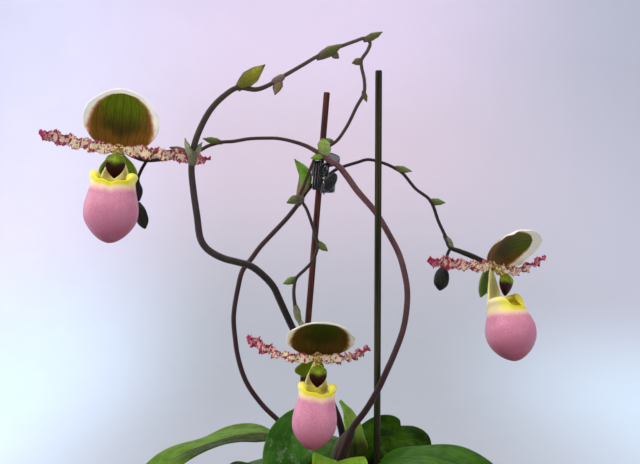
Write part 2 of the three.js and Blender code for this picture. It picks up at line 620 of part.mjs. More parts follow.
function pouch({ drop, forward, swing, girth }) {
  const { levels, halfWidths, halfDepths, wall } = POUCH;
  const ring = (i, inset, rise) => pouchRing({
    forward,
    inset,
    level: levels[i] + rise,
    halfWidth: halfWidths[i] * girth,
    halfDepth: halfDepths[i] * girth,
    lift: [1, 0.35][i] ?? 0,
  });
  const outside = levels.map((z, i) => ring(i, 0, 0));
  const inside = levels.slice(0, -2).map((z, i) => ring(i, wall, i > 3 ? wall : 0));
  const shell = ringSolid([...outside.reverse(), ...inside]).translate(0, 0, -drop).rotateX(radians(-swing));
  const seam = new THREE.Vector3(0, halfDepths[1] * girth - forward - wall / 2, levels[1] - drop - wall);
  seam.applyAxisAngle(new THREE.Vector3(1, 0, 0), radians(-swing));
  const claw = blade({
    spine: [[0, -0.6, -1.5], [0, seam.y * 0.45, seam.z * 0.5], seam.toArray()],
    back: [0, 1, 0],
    rows: 4,
    columns: 2,
    thickness: 1,
    shape: (u, t) => [spline(CLAW.half, t) * u, -spline(CLAW.cup, t) * u * u],
  });
  return joined([shell, claw]);
}

function staminode(drop) {
  const { halfWidth, halfDepth, halfHeight, place } = STAMINODE;
  const lower = drop / 4;
  const shield = new THREE.SphereGeometry(1, 8, 6).scale(halfWidth, halfDepth, halfHeight);
  shield.translate(...place).translate(0, 0, -lower);
  const hub = new THREE.SphereGeometry(FLOWER_HUB, 8, 6);
  const column = taperedTube([[0, 0, 0], [0, -4.6, -1.6], [0, -8.4, -4.5 - lower]], [1.9, 1.7, 1.6], 6, 0, 4);
  return joined([hub, column, shield]);
}

// The meshes of one flower, in a group that places and turns it. ovary is the stem's end behind the flower.
function flower(name, values, ovary) {
  const { centre, yaw, roll, size, hood, behind, petalLeft, petalRight, drop } = values;
  const group = new THREE.Group();
  group.position.set(...centre);
  group.rotation.set(0, radians(roll), radians(yaw), 'ZXY');
  group.scale.setScalar(size);
  group.updateMatrix();
  const hubRoom = manifoldOf(new THREE.SphereGeometry(FLOWER_HUB + CLEARANCE / size, 10, 8));
  const ovaryRoom = manifoldOf(ovary.applyMatrix4(group.matrix.clone().invert()));
  const clear = (manifold) => geometryFrom(mainPiece(manifold.subtract(hubRoom).subtract(ovaryRoom)));
  const petalRoom = (side, shape) => manifoldOf(petal(side, shape, (2 * CLEARANCE) / size));
  const dorsal = manifoldOf(dorsalSepal(hood))
    .subtract(petalRoom(-1, petalLeft))
    .subtract(petalRoom(1, petalRight));
  group.add(
    meshOf(`${name}_dorsal_sepal`, clear(dorsal), COLOUR.sepal),
    meshOf(`${name}_synsepal`, clear(manifoldOf(synsepal(behind))), COLOUR.sepal),
    meshOf(`${name}_petal_left`, clear(manifoldOf(petal(-1, petalLeft))), COLOUR.petal),
    meshOf(`${name}_petal_right`, clear(manifoldOf(petal(1, petalRight))), COLOUR.petal),
    meshOf(`${name}_pouch`, clear(pouch(values)), COLOUR.pouch, 0.5),
    meshOf(`${name}_column`, geometryFrom(staminode(drop)), COLOUR.staminode, 0.5),
  );
  return group;
}

// The room that a stem's end takes behind its flower.
function ovaryRoom({ route, radii }, centre) {
  const radius = radii[radii.length - 1] + 4 * CLEARANCE;
  return taperedTube([...route.slice(-3), centre], [radius, radius], 8, 0, 3);
}

function hubSpace({ centre, size }) {
  const radius = FLOWER_HUB * size + CLEARANCE;
  return manifoldOf(new THREE.SphereGeometry(radius, 12, 10).translate(...centre));
}

function bud(from, to, half) {
  return taperedTube([from, to], [half * 0.4, half * 0.85, half, half * 0.9, half * 0.3], 8, 0, 1.9);
}

// The claw clip. Its hinge pin stands beside the brown stake, and the moving jaw reaches round to the right.
const CLIP = {
  hinge: [-5, -1.2], low: 239.5, middle: 246.8, high: 254.2, knuckle: 1.7, pin: 0.6, pinEnd: 0.8,
  jawThickness: 1.5, tipShare: 0.45, jawSteps: 8,
};
// The front plate of the fixed jaw and the thumb tab of the moving jaw: rounded plates that face forward.
// Their place is from the hinge, and the tab is turned in its own plane.
const FRONT_PLATE = {
  place: [-4.2, 0.6, 1.6], halfWidth: 2, halfHeight: 7.4, thickness: 1.6, turn: 0, corner: 0.3,
};
const THUMB_TAB = {
  place: [2.8, -3.6, -2.2], halfWidth: 2.8, halfHeight: 5, thickness: 2, turn: 24, corner: 0.9,
};
const COIL = { turns: 3, pitch: 0.4, inner: 1, groove: 1.5, outer: 1.7, room: 0.9 };
const LEAN = (BROWN_STAKE.top[0] - BROWN_STAKE.foot[0]) / (BROWN_STAKE.top[2] - STAKE_FOOT);

// A bent strip of the clip: points in plan from the hinge outwards, between two heights, lower at its tip.
function jawStrip(plan, low, high) {
  const [x, y] = CLIP.hinge;
  const points = [[0, 0], ...plan].map(([right, away]) => new THREE.Vector3(x + right, y + away, 0));
  const curve = new THREE.CatmullRomCurve3(points, false, 'centripetal');
  const rings = [];
  for (let i = 0; i <= CLIP.jawSteps; i += 1) {
    const share = i / CLIP.jawSteps;
    const centre = curve.getPointAt(share);
    const along = curve.getTangentAt(share);
    const side = new THREE.Vector3(-along.y, along.x, 0).multiplyScalar(CLIP.jawThickness / 2);
    const halfHeight = ((high - low) / 2) * (1 - (1 - CLIP.tipShare) * share ** 2);
    rings.push([[1, -1], [1, 1], [-1, 1], [-1, -1]].map(([s, h]) => (
      centre.clone().addScaledVector(side, s).setZ((low + high) / 2 + h * halfHeight)
    )));
  }
  return ringSolid(rings);
}

// The clip leans with the stake that it holds.
function leanWithStake(geometry) {
  const shift = -LEAN * CLIP.middle;
  const shear = new THREE.Matrix4().makeShear(0, 0, 0, 0, LEAN, 0).setPosition(shift, 0, 0);
  return geometry.applyMatrix4(shear);
}

function upright(radius, low, high, sides = 10) {
  return new THREE.CylinderGeometry(radius, radius, high - low, sides)
    .rotateX(Math.PI / 2)
    .translate(...CLIP.hinge, (low + high) / 2);
}

// A plate with a superellipse outline: the smaller corner is, the squarer it is.
function roundedPlate({ place, halfWidth, halfHeight, thickness, turn, corner }) {
  const outline = Array.from({ length: 12 }, (_, i) => {
    const angle = (2 * Math.PI * i) / 12;
    const bent = (v) => Math.sign(v) * Math.abs(v) ** corner;
    return [halfWidth * bent(Math.cos(angle)), halfHeight * bent(Math.sin(angle))];
  });
  const ring = (y) => outline.map(([x, z]) => new THREE.Vector3(x, y, z));
  const [x, y] = CLIP.hinge;
  return ringSolid([ring(-thickness / 2), ring(thickness / 2)])
    .rotateY(radians(turn))
    .translate(x + place[0], y + place[1], CLIP.middle + place[2]);
}

function coilGeometry() {
  const { turns, pitch, inner, groove, outer } = COIL;
  const start = (-turns * pitch) / 2;
  const profile = [[inner, start]];
  for (let i = 0; i < turns; i += 1) {
    profile.push([groove, start + i * pitch], [outer, start + (i + 0.5) * pitch]);
  }
  profile.push([groove, -start], [inner, -start], [inner, start]);
  return new THREE.LatheGeometry(profile.map((p) => new THREE.Vector2(...p)), 10)
    .rotateX(Math.PI / 2)
    .translate(...CLIP.hinge, CLIP.middle);
}

function clipPieces() {
  const { low, middle, high, knuckle, pin, pinEnd } = CLIP;
  const fixedLow = middle + COIL.room;
  const movingHigh = middle - COIL.room;
  const bore = manifoldOf(leanWithStake(upright(pin + CLEARANCE, low - pinEnd, high + 6)));
  const fixed = joined([
    upright(knuckle, fixedLow, high),
    jawStrip([[-5.4, 3.6], [-6.6, 8.6], [-3.6, 12.8]], fixedLow, high),
    jawStrip([[-2.4, 0.3], [-4.2, 0.6]], fixedLow, high),
    jawStrip([[3, 1.4], [6.6, 2.4]], middle + 5.4, high + 5.6),
    roundedPlate(FRONT_PLATE),
  ].map(leanWithStake)).subtract(bore);
  const moving = joined([
    upright(knuckle, low, movingHigh),
    jawStrip([[4, 3.4], [4.6, 8.8], [0.4, 13]], low, movingHigh),
    jawStrip([[1.8, -2], [3, -3.6]], low, movingHigh),
    roundedPlate(THUMB_TAB),
  ].map(leanWithStake)).subtract(bore);
  return [
    meshOf('clip_fixed_jaw', geometryFrom(fixed), COLOUR.clip, 0.25),
    meshOf('clip_moving_jaw', geometryFrom(moving), COLOUR.clip, 0.25),
    meshOf('clip_pin', leanWithStake(upright(pin, low - pinEnd, high + pinEnd, 8)), COLOUR.wire, 0.35, 1),
    meshOf('clip_spring', leanWithStake(coilGeometry()), COLOUR.wire, 0.35, 1),
  ];
}

function build() {
  const stems = { arched: ARCHED_STEM, right: RIGHT_STEM, left: LEFT_STEM };
  const carries = { arched: 'flower_bottom', right: 'flower_left', left: 'flower_right' };
  const stakes = [
    ['stake_brown', BROWN_STAKE, COLOUR.brownStake],
    ['stake_green', GREEN_STAKE, COLOUR.greenStake],
  ];
  const stemRooms = Object.fromEntries(Object.entries(stems).map(([key, value]) => [key, stemRoom(value)]));
  const crownRooms = Object.values(stems).map(({ route }) => manifoldOf(crownAt(...route[0], CLEARANCE)));
  const stakeRooms = stakes.map(([, stake]) => manifoldOf(stakeBar(stake, CLEARANCE)));
  const taken = [...crownRooms, ...Object.values(stemRooms), ...stakeRooms];
  const orchid = new THREE.Group();
  orchid.add(meshOf('pot', potGeometry(), COLOUR.pot, 0.5));
  orchid.add(meshOf('growing_medium', mediumGeometry(taken), COLOUR.bark, 0.9));
  for (const [name, stake, colour] of stakes) orchid.add(meshOf(name, stakeBar(stake), colour, 0.6));
  for (const [key, value] of Object.entries(stems)) {
    const carried = FLOWERS[carries[key]];
    const grown = stem({ ...value, route: [...value.route, carried.centre] }, BRACTS[key]);
    const trimmed = mainPiece(grown.subtract(hubSpace(carried)));
    const crown = manifoldOf(crownAt(...value.route[0])).subtract(stemRooms[key]);
    orchid.add(meshOf(`flowering_stem_${key}`, geometryFrom(trimmed), COLOUR.stem));
    orchid.add(meshOf(`crown_${key}`, geometryFrom(crown), COLOUR.crown));
  }
  for (const [name, leaf] of Object.entries(LEAVES)) {
    const cut = taken.reduce((rest, room) => rest.subtract(room), leafSolid(leaf));
    orchid.add(meshOf(name, geometryFrom(mainPiece(cut)), leaf.colour, 0.45));
    taken.push(leafSolid(leaf, 2 * CLEARANCE));
  }
  for (const [key, name] of Object.entries(carries)) {
    orchid.add(flower(name, FLOWERS[name], ovaryRoom(stems[key], FLOWERS[name].centre)));
  }
  orchid.add(meshOf('bud_left', bud([-95, -17.8, 234.1], [-91.5, -18.6, 221.5], 3), COLOUR.bud, 0.4));
  orchid.add(meshOf('bud_right', bud([54.3, 1, 202.6], [52.5, 1, 190.6], 3.7), COLOUR.bud, 0.4));
  orchid.add(...clipPieces());
  return orchid;
}

export default build();
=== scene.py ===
"""The looks of a potted slipper orchid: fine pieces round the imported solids, materials, light and camera."""
import json
import math

import bmesh
import bpy
import numpy as np
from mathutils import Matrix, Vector


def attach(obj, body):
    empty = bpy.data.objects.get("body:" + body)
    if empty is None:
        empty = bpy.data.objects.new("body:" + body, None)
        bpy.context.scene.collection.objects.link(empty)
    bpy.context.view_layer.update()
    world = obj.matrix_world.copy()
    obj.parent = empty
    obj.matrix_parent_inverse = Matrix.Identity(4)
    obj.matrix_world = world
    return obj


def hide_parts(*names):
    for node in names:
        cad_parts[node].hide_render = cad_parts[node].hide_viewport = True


MM = 0.001
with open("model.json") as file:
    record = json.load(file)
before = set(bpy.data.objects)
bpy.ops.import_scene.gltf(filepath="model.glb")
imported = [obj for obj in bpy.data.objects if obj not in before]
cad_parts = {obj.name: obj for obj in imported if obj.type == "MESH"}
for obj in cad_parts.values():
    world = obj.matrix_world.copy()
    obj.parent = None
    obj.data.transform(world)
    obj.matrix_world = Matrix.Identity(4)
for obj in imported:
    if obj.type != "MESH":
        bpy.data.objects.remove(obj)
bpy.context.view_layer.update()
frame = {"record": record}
BODY = {node: body for body, nodes in frame["record"]["behaviour"]["bodies"].items() for node in nodes}

# Stem routes, base first. Each point is [x, y, z] and each radius belongs to the point at that share.
ARCHED_STEM = {
  "route": [
    [5.5, 6, 88], [5, 2, 104.5], [2.5, -3, 124.5], [-5, -5.5, 142.5], [-14, -8, 160.5], [-20.5, -11, 172.5],
    [-24.8, -13.5, 182], [-27.3, -16, 188], [-30, -19, 194], [-35.3, -23.5, 200.2], [-40.4, -28, 204.2],
    [-46, -31, 206], [-51.5, -34, 207.6], [-55.9, -36, 209.7], [-59.8, -37.5, 212.7], [-62.2, -38.5, 216.8],
    [-63.8, -39, 227.5], [-65.3, -40, 239], [-66.1, -40.5, 249], [-65, -41, 258.5], [-62, -40, 267.6],
    [-57.2, -39, 276.4], [-51.2, -37.5, 282.8], [-45.5, -36, 286.5], [-37, -34, 286], [-31, -32, 288.5],
    [-26.5, -31, 291.5], [-15.5, -28, 298.5], [-8.5, -26, 303], [-2.5, -24, 306], [8.5, -20, 311],
    [14.5, -18, 313], [16.6, -17.4, 311], [15.5, -17, 307.5], [12.5, -15, 303], [12.7, -14.5, 299.5],
    [14, -13, 294], [14, -11, 288], [10.5, -9, 281.5], [6, -6, 272.5], [1, -3, 265.5], [-2.5, -2, 263],
    [-8.5, -2, 259], [-12, -3, 252], [-15.5, -4, 243], [-17.3, -4, 237.5], [-14, -4, 231],
    [-11.5, -5, 224], [-9.5, -6, 217.5], [-8.5, -6, 214], [-11, -8, 206], [-14.5, -10, 202],
    [-19, -13, 197.5], [-20, -15, 193.5], [-20, -17, 188.5], [-18.5, -20, 181], [-17, -22, 177.5],
    [-14, -25, 171.5], [-11.2, -29, 164.2],
  ],
  "radii": [1.8, 1.75, 1.7, 1.7, 1.65, 1.5, 1.35, 0.95, 0.85, 0.85, 0.8, 0.8, 0.85, 1.2],
}
RIGHT_STEM = {
  "route": [
    [1, -12, 88], [1.5, -12, 107], [4.5, -12, 116], [8, -12, 124], [15, -12, 133.5], [20.5, -11, 142.5],
    [25.5, -9, 152.5], [29.5, -7, 161], [33.5, -5, 171.5], [35.5, -3, 181.5], [36, -1, 191], [34.5, 1, 201],
    [32, 3, 209.5], [28, 4, 217.5], [20.5, 4, 230], [11, 2, 241], [5.5, 0, 248.5], [1.5, -2, 253],
    [-3, -3.6, 255.5], [-6.5, -5, 258], [-13.5, -7, 262], [-19.5, -9, 264], [-27.5, -12, 265.5],
    [-33.5, -14, 265.5], [-41.5, -16, 265], [-49.5, -18, 263.5], [-54.5, -19.5, 263], [-61, -21, 261],
    [-65.5, -21.5, 258.5], [-71, -21.5, 257.5], [-78.5, -20.5, 255.5], [-85.5, -20, 254.5],
    [-91.5, -19.5, 254.5], [-97, -21, 256.5], [-100.5, -25, 258.6],
  ],
  "radii": [1.6, 1.6, 1.55, 1.5, 1.5, 1.5, 1.55, 0.9, 0.85, 0.9, 1.2],
  "side": [
    [-90.5, -19.5, 254.2], [-93.5, -18, 249.5], [-95.2, -17.5, 245], [-94.6, -17.5, 239.5],
    [-95, -17.8, 234.5],
  ],
  "sideRadii": [0.8, 0.8, 0.9, 1.9, 0.9],
}
LEFT_STEM = {
  "route": [
    [-6.5, 14, 88], [-8.5, 15, 97], [-15.5, 17, 109.5], [-29, 18, 122], [-37.5, 17, 130.5],
    [-45.5, 15, 142.5], [-49.5, 13, 155], [-51, 11, 166], [-51.5, 9, 177], [-49, 5, 191.5],
    [-46.5, 3, 200.5], [-42, 2, 206.5], [-37.5, 1, 212.5], [-31, 1, 219.5], [-24, 1.5, 227],
    [-18.5, 2.5, 234], [-15, 3.5, 239.5], [-11.5, 4, 243.5], [-5, 4, 247.5], [0.5, 5, 251.5], [4, 6, 253],
    [11.5, 9, 255.5], [17, 10, 257], [24, 10, 255.5], [30, 10, 253], [34.5, 9, 250], [41, 7, 242],
    [48, 4, 236], [52, 1, 225], [55, -1, 218], [57, -3, 212.5], [62, -3, 210.4], [68, -3, 208],
    [73, -3, 205.6],
  ],
  "radii": [
    1.4, 1.38, 1.35, 1.33, 1.3, 1.28, 1.25, 1.25, 1.25, 1.25, 1.25, 1.2, 1.15, 1, 0.85, 0.83, 0.8, 0.8,
    0.8, 0.83, 0.85, 1.3, 1.42,
  ],
  "side": [[58.4, -2.4, 213.4], [56.8, -1.2, 210.6], [55.6, 0, 207], [54.4, 1, 203]],
  "sideRadii": [0.8, 0.8, 0.9],
}

# Bracts: where each starts on its stem, where its tip is, its half width and the way its back faces.
# curl is how far its sides bend round, against its half width.
BRACTS = {
  "arched": [
    {"base": [-45.5, -36, 285.5], "tip": [-32.8, -37, 297], "half": 3.7, "back": [0.5, -1, -0.4]},
    {"base": [-26.5, -31, 292], "tip": [-28.3, -33.5, 283.5], "half": 2.3, "back": [-0.3, -1, 0]},
    {"base": [-9.5, -26, 302], "tip": [3.5, -24, 309], "half": 2.5, "back": [0.2, -1, 0.4]},
    {"base": [-2.5, -24, 305.5], "tip": [1.5, -25.5, 302], "half": 1.7, "back": [0, -1, -0.3]},
    {"base": [13, -18.3, 312], "tip": [22.5, -17, 316.2], "half": 2.1, "back": [-0.3, -1, 0.5]},
    {"base": [13, -15.2, 303.5], "tip": [8, -15.2, 301.5], "half": 1.8, "back": [0, -1, 0.2]},
    {"base": [13.6, -11.2, 289], "tip": [15.2, -11, 283.5], "half": 1.3, "back": [0.4, -1, 0]},
    {"base": [-0.5, -2.4, 264.6], "tip": [-4.5, -1.4, 266.6], "half": 1.2, "back": [0, -1, 0.6]},
    {"base": [-17, -4, 237], "tip": [-24, -4.5, 234.5], "half": 2.1, "back": [-0.2, -1, -0.4]},
    {"base": [-8.8, -6, 215.5], "tip": [-3.8, -6.5, 210.5], "half": 1.9, "back": [0.5, -1, 0.2]},
    {"base": [-19, -13, 198], "tip": [-25.3, -13.4, 194.8], "half": 1.9, "back": [-0.2, -1, 0.5]},
    {"base": [-20, -18, 185.5], "tip": [-16.5, -23.5, 175.5], "half": 2, "back": [-0.6, -1, -0.2]},
    {"base": [-65.6, -40.5, 252], "tip": [-68.6, -43, 262.5], "half": 2.4, "back": [-1, -0.6, 0]},
    {"base": [-66.1, -40.5, 252], "tip": [-61.6, -39, 261], "half": 2.4, "back": [1, -0.4, 0]},
  ],
  "right": [
    {
      "base": [-4.6, -4.9, 257.6], "tip": [-6.4, -6.8, 266], "half": 3.3, "curl": 0.3, "blunt": True,
      "back": [0.3, -1, 0.2],
    },
    {"base": [-5.5, -5.2, 257.6], "tip": [-12, -6.8, 256.4], "half": 1.6, "back": [-0.2, -1, -0.5]},
    {"base": [-54, -19.5, 263], "tip": [-63.4, -21.4, 264.4], "half": 1.8, "back": [0, -1, 0.5]},
    {"base": [-70, -21.8, 257.8], "tip": [-79, -22.6, 260.2], "half": 1.8, "back": [0, -1, 0.5]},
    {
      "base": [1, -11, 99], "middle": [2.5, -10.6, 113], "tip": [10.5, -10.2, 127.5], "half": 3.5,
      "back": [-0.2, -1, 0.1],
    },
  ],
  "left": [
    {
      "base": [-18, 1.8, 237], "middle": [-14.4, 0.4, 248], "tip": [-20.3, -0.5, 256.5], "half": 3.2,
      "back": [0.2, -1, 0],
    },
    {"base": [-17, 2.8, 237], "tip": [-22.4, 0.5, 235.7], "half": 1.5, "back": [-0.3, -1, 0.3]},
    {"base": [30, 10, 253.2], "tip": [39.2, 8.6, 250.8], "half": 1.9, "back": [0, -1, 0.6]},
    {"base": [47.5, 4, 236], "tip": [55.5, 3, 234.6], "half": 1.9, "back": [0, -1, 0.5]},
    {"base": [54.5, -0.5, 218.5], "tip": [58.5, -3.2, 213.5], "half": 1.6, "back": [0.6, -1, 0]},
  ],
}

# Leaves: midrib points from the crown outwards, half widths at even shares, and the leaf's own colour.
LEAVES = {
  "leaf_long_left": {
    "twist": 0, "fold": 0.04, "wave": 1.4, "back": [0, 0, -1],
    "spine": [
      [-8, 13, 90], [-19, 7, 108], [-32, 3, 118], [-46, -1, 119], [-62, -7, 116], [-78, -13, 110.5],
      [-92, -20, 101], [-106, -27, 87],
    ],
    "half": [3, 6, 13, 16, 16, 13.5, 9, 1],
  },
  "leaf_front_dark": {
    "twist": 0, "fold": 0.3, "wave": 0.6, "back": [-0.2, 1, -0.5],
    "spine": [[-1, -14, 93], [-9, -21, 98], [-19, -25, 107], [-21.5, -22, 120], [-15, -13, 137]],
    "half": [3, 8, 14.5, 15, 12, 7, 0.8],
  },
  "leaf_small_left": {
    "twist": 0, "fold": 0.1, "wave": 1, "back": [0, 0, -1],
    "spine": [[-2, -10, 91], [-14, -11, 98], [-29, -16, 102.5], [-43, -26, 99], [-59, -38, 84]],
    "half": [2.4, 5, 8.5, 11, 10, 7, 1],
  },
  "leaf_big_right": {
    "twist": 8, "fold": 0.05, "wave": 1.2, "back": [0, 0, -1],
    "spine": [[8, 3, 90], [19, -7, 104], [36, -12, 110.5], [56, -17, 108.5], [76, -24, 99], [100, -34, 80]],
    "half": [2.6, 12, 19, 21.5, 20.5, 15, 1],
  },
  "leaf_wavy_back_right": {
    "twist": 0, "fold": 0.15, "wave": 3.4, "back": [-0.2, 0.8, -0.6],
    "spine": [[6, 11, 92], [13, 15, 105], [24, 18, 113.5], [35, 21, 111], [42.5, 23.5, 111], [52, 27, 101]],
    "half": [6, 8.5, 10.5, 10.5, 9, 6.5, 1],
  },
  "leaf_small_upright": {
    "twist": 0, "fold": 0.35, "wave": 1.2, "back": [-0.3, 1, -0.2],
    "spine": [[7, 7, 93], [9.5, 7.5, 104], [9.5, 7, 116], [7, 6, 127], [2.6, 4.5, 135]],
    "half": [2.4, 4.4, 5.8, 5.8, 4.4, 2.6, 0.8],
  },
  "leaf_low_front": {
    "twist": 0, "fold": 0.3, "wave": 1, "back": [0, 0, -1],
    "spine": [[2, -15, 90], [1.5, -23, 104], [1, -34, 111], [2, -52, 104], [3, -74, 84]],
    "half": [2.4, 7, 10.5, 12.5, 11, 7, 1],
  },
  "leaf_back_left": {
    "twist": 0, "fold": 0.22, "wave": 1.4, "back": [0, 0, -1],
    "spine": [[-9, 16, 89], [-24, 28, 96], [-40, 40, 94], [-56, 52, 85], [-72, 62, 84]],
    "half": [2.4, 7, 13, 16, 15, 11, 1],
  },
  "leaf_back": {
    "twist": 0, "fold": 0.22, "wave": 1.4, "back": [0, 0, -1],
    "spine": [[-6, 18, 90], [-1, 34, 104], [4, 52, 105], [8, 71, 97], [11, 88, 80]],
    "half": [2.4, 7, 12, 15, 14, 10, 1],
  },
  "leaf_back_right": {
    "twist": 0, "fold": 0.22, "wave": 1.4, "back": [0, 0, -1],
    "spine": [[7, 10, 88], [24, 24, 99], [42, 35, 102], [62, 46, 96], [82, 56, 82]],
    "half": [2.4, 7, 13, 16, 15, 11, 1],
  },
}

# Flowers: place of the centre, turns in degrees and size. The pouch hangs drop below the hub, is set forward
# from it, swings forward at its foot and is girth broad. The hood leans forward and may turn or roll further
# than the flower, and the synsepal behind the pouch leans back and may turn too. Petals have a length, a
# backward sweep, a rise to the tip and a sag between.
FLOWERS = {
  "flower_left": {
    "centre": [-101.6, -30, 258.2], "yaw": 6, "roll": 4.5, "size": 1,
    "drop": 0.4, "forward": 11, "swing": 0, "girth": 0.99,
    "hood": {"lean": 18, "turn": 0, "roll": 3, "scale": 1}, "behind": {"length": 21, "leanBack": 32},
    "petalLeft": {"length": 36.5, "sweep": -2, "rise": 4.6, "sag": 0},
    "petalRight": {"length": 43, "sweep": -4, "rise": -0.9, "sag": 0},
  },
  "flower_bottom": {
    "centre": [-8.8, -35, 162], "yaw": 7, "roll": 5, "size": 0.88,
    "drop": 3, "forward": 11, "swing": 0, "girth": 0.92,
    "hood": {"lean": 39, "turn": 0, "roll": 0, "scale": 1.02},
    "behind": {"length": 15, "leanBack": 60, "turn": 28},
    "petalLeft": {"length": 40, "sweep": 22, "rise": 6.2, "sag": 2.4},
    "petalRight": {"length": 39, "sweep": 38, "rise": 3.6, "sag": 0.8},
  },
  "flower_right": {
    "centre": [76.8, -4.6, 203.4], "yaw": 55, "roll": 5, "size": 0.95,
    "drop": 7.7, "forward": 3.6, "swing": 14.8, "girth": 1.15,
    "hood": {"lean": 41, "turn": 20, "roll": 27, "scale": 1.1, "broad": 0.97},
    "behind": {"length": 16, "leanBack": 16},
    "petalLeft": {"length": 40, "sweep": 28, "rise": 0, "sag": 1.2},
    "petalRight": {"length": 41, "sweep": -20, "rise": 7, "sag": 4.2},
  },
}
# Sizes in mm and turns in degrees, the same as the solids'.
DORSAL = {
    "length": 28.6, "halfWidth": 17.4, "base": 2.2, "cup": 4.5, "setBack": 1.8,
    "lowBulge": 0.28, "highBulge": 0.5, "greenShare": [1.02, 0.97, 0.9, 0.84, 0.81, 0.79, 0.8, 0.82, 0.84],
}
SYNSEPAL = {"half": [2, 6.4, 8.8, 8.6, 6, 0.8], "cup": 2.4}
PETAL = {
    "half": [1.5, 2.8, 3.2, 3.2, 3.1, 3.1, 3.2, 0.9], "wave": 1.3, "waves": 5, "twist": 35,
    "forward": 0.9, "bow": 1.2,
}
POUCH = {
    "wall": 1, "dip": 2.6,
    "levels": [-12.6, -15.6, -20.5, -26.5, -32.5, -37.8, -41.6, -43],
    "halfWidths": [10.6, 10.1, 11.1, 12.4, 12, 8.8, 4.4, 0.8],
    "halfDepths": [8.2, 8.5, 9.8, 11, 10.4, 7.8, 3.9, 0.7],
}
CLAW = {"half": [1.7, 5, 7.2], "cup": [0.2, 2.4, 4]}
BROWN_STAKE = {"foot": [-25.1, 8, 34], "top": [-4, 8, 291], "radius": 1.6}
GREEN_STAKE = {"foot": [20.4, -4, 34], "top": [21.6, -4, 300], "radius": 1.7}
POT = {
    "height": 92, "topRadius": 50, "footRadius": 37, "wall": 1.8, "floor": 2.4, "rimHeight": 11,
    "rimLip": 2.6, "holes": 6, "holeRadius": 3.2, "holeRing": 25,
}
MEDIUM_TOP = 85
BLADE = 0.75
CROWN = {"bottom": 78, "top": 97, "radius": 5.2, "shoulder": 4.2}
CLIP = {
    "hinge": [-5, -1.2], "low": 239.5, "middle": 246.8, "high": 254.2, "knuckle": 1.7, "pin": 0.6,
    "pinEnd": 0.8, "jawThickness": 1.5, "tipShare": 0.45, "room": 0.9,
}
FRONT_PLATE = {
    "place": [-4.2, 0.6, 1.6], "halfWidth": 2, "halfHeight": 7.4, "thickness": 1.6, "turn": 0, "corner": 0.3,
}
THUMB_TAB = {
    "place": [2.8, -3.6, -2.2], "halfWidth": 2.8, "halfHeight": 5, "thickness": 2, "turn": 24, "corner": 0.9,
}
FIXED_CLAW = [(-5.4, 3.6), (-6.6, 8.6), (-3.6, 12.8)]
FIXED_ARM = [(-2.4, 0.3), (-4.2, 0.6)]
FIXED_HANDLE = [(3, 1.4), (6.6, 2.4)]
MOVING_CLAW = [(4, 3.4), (4.6, 8.8), (0.4, 13)]
MOVING_ARM = [(1.8, -2), (3, -3.6)]
SPRING = {"radius": 1.35, "wire": 0.16, "turns": 3, "halfHeight": 0.42}
COLUMN = {
    "hub": 3, "neck": [1.9, 1.7, 1.6], "shieldWidths": [0.8, 3.6, 4.5, 4.6, 4.3, 3.5, 2.2, 0.5],
    "shieldDepths": [0.5, 1.5, 2, 2.1, 1.9, 1.5, 1, 0.3], "shieldTop": 5.8, "shieldTall": 11.8,
    "shieldForward": 8.6, "shieldDrop": 7.6,
}
BUDS = {
    "bud_left": {"start": [-95, -17.8, 234.1], "end": [-91.5, -18.6, 221.5], "half": 3, "seed": 51},
    "bud_right": {"start": [54.3, 1, 202.6], "end": [52.5, 1, 190.6], "half": 3.7, "seed": 52},
}
LEAN = (BROWN_STAKE["top"][0] - BROWN_STAKE["foot"][0]) / (BROWN_STAKE["top"][2] - BROWN_STAKE["foot"][2])


# Numbers and curves

def unit(v):
    return v / np.maximum(np.linalg.norm(v, axis=-1, keepdims=True), 1e-12)


def circle(count):
    """Evenly spaced angles, once round."""
    return np.linspace(0, 2 * np.pi, count, endpoint=False)


def smooth(low, high, value):
    t = np.clip((np.asarray(value, float) - low) / (high - low), 0, 1)
    return t * t * (3 - 2 * t)


def spline(values, share):
    """A value between evenly spaced ones, on a smooth curve through them."""
    v = np.array(values, float)
    last = len(v) - 1
    place = np.clip(share, 0, 1) * last
    i = np.minimum(np.floor(place).astype(int), last - 1)
    t = place - i
    a = (v[i + 1] - v[np.maximum(i - 1, 0)]) / 2
    b = (v[np.minimum(i + 2, last)] - v[i]) / 2
    drop = v[i] - v[i + 1]
    return v[i] + a * t + (-3 * drop - 2 * a - b) * t ** 2 + (2 * drop + a + b) * t ** 3


def curve_length_table(points):
    """Many points on the smooth centripetal curve through the given ones, and the length up to each."""
    p = np.array(points, float)
    ext = np.vstack([2 * p[0] - p[1], p, 2 * p[-1] - p[-2]])
    w = np.linspace(0, 1, 24, endpoint=False)[:, None]
    dense = []
    for i in range(len(p) - 1):
        p0, p1, p2, p3 = ext[i:i + 4]
        d0, d1, d2 = (max(np.linalg.norm(b - a), 1e-6) ** 0.5 for a, b in ((p0, p1), (p1, p2), (p2, p3)))
        t1 = ((p1 - p0) / d0 - (p2 - p0) / (d0 + d1) + (p2 - p1) / d1) * d1
        t2 = ((p2 - p1) / d1 - (p3 - p1) / (d1 + d2) + (p3 - p2) / d2) * d1
        dense.append(p1 + t1 * w + (-3 * p1 + 3 * p2 - 2 * t1 - t2) * w ** 2
                     + (2 * p1 - 2 * p2 + t1 + t2) * w ** 3)
    dense = np.vstack([*dense, p[-1:]])
    far = np.concatenate([[0], np.cumsum(np.linalg.norm(np.diff(dense, axis=0), axis=1))])
    return dense, far


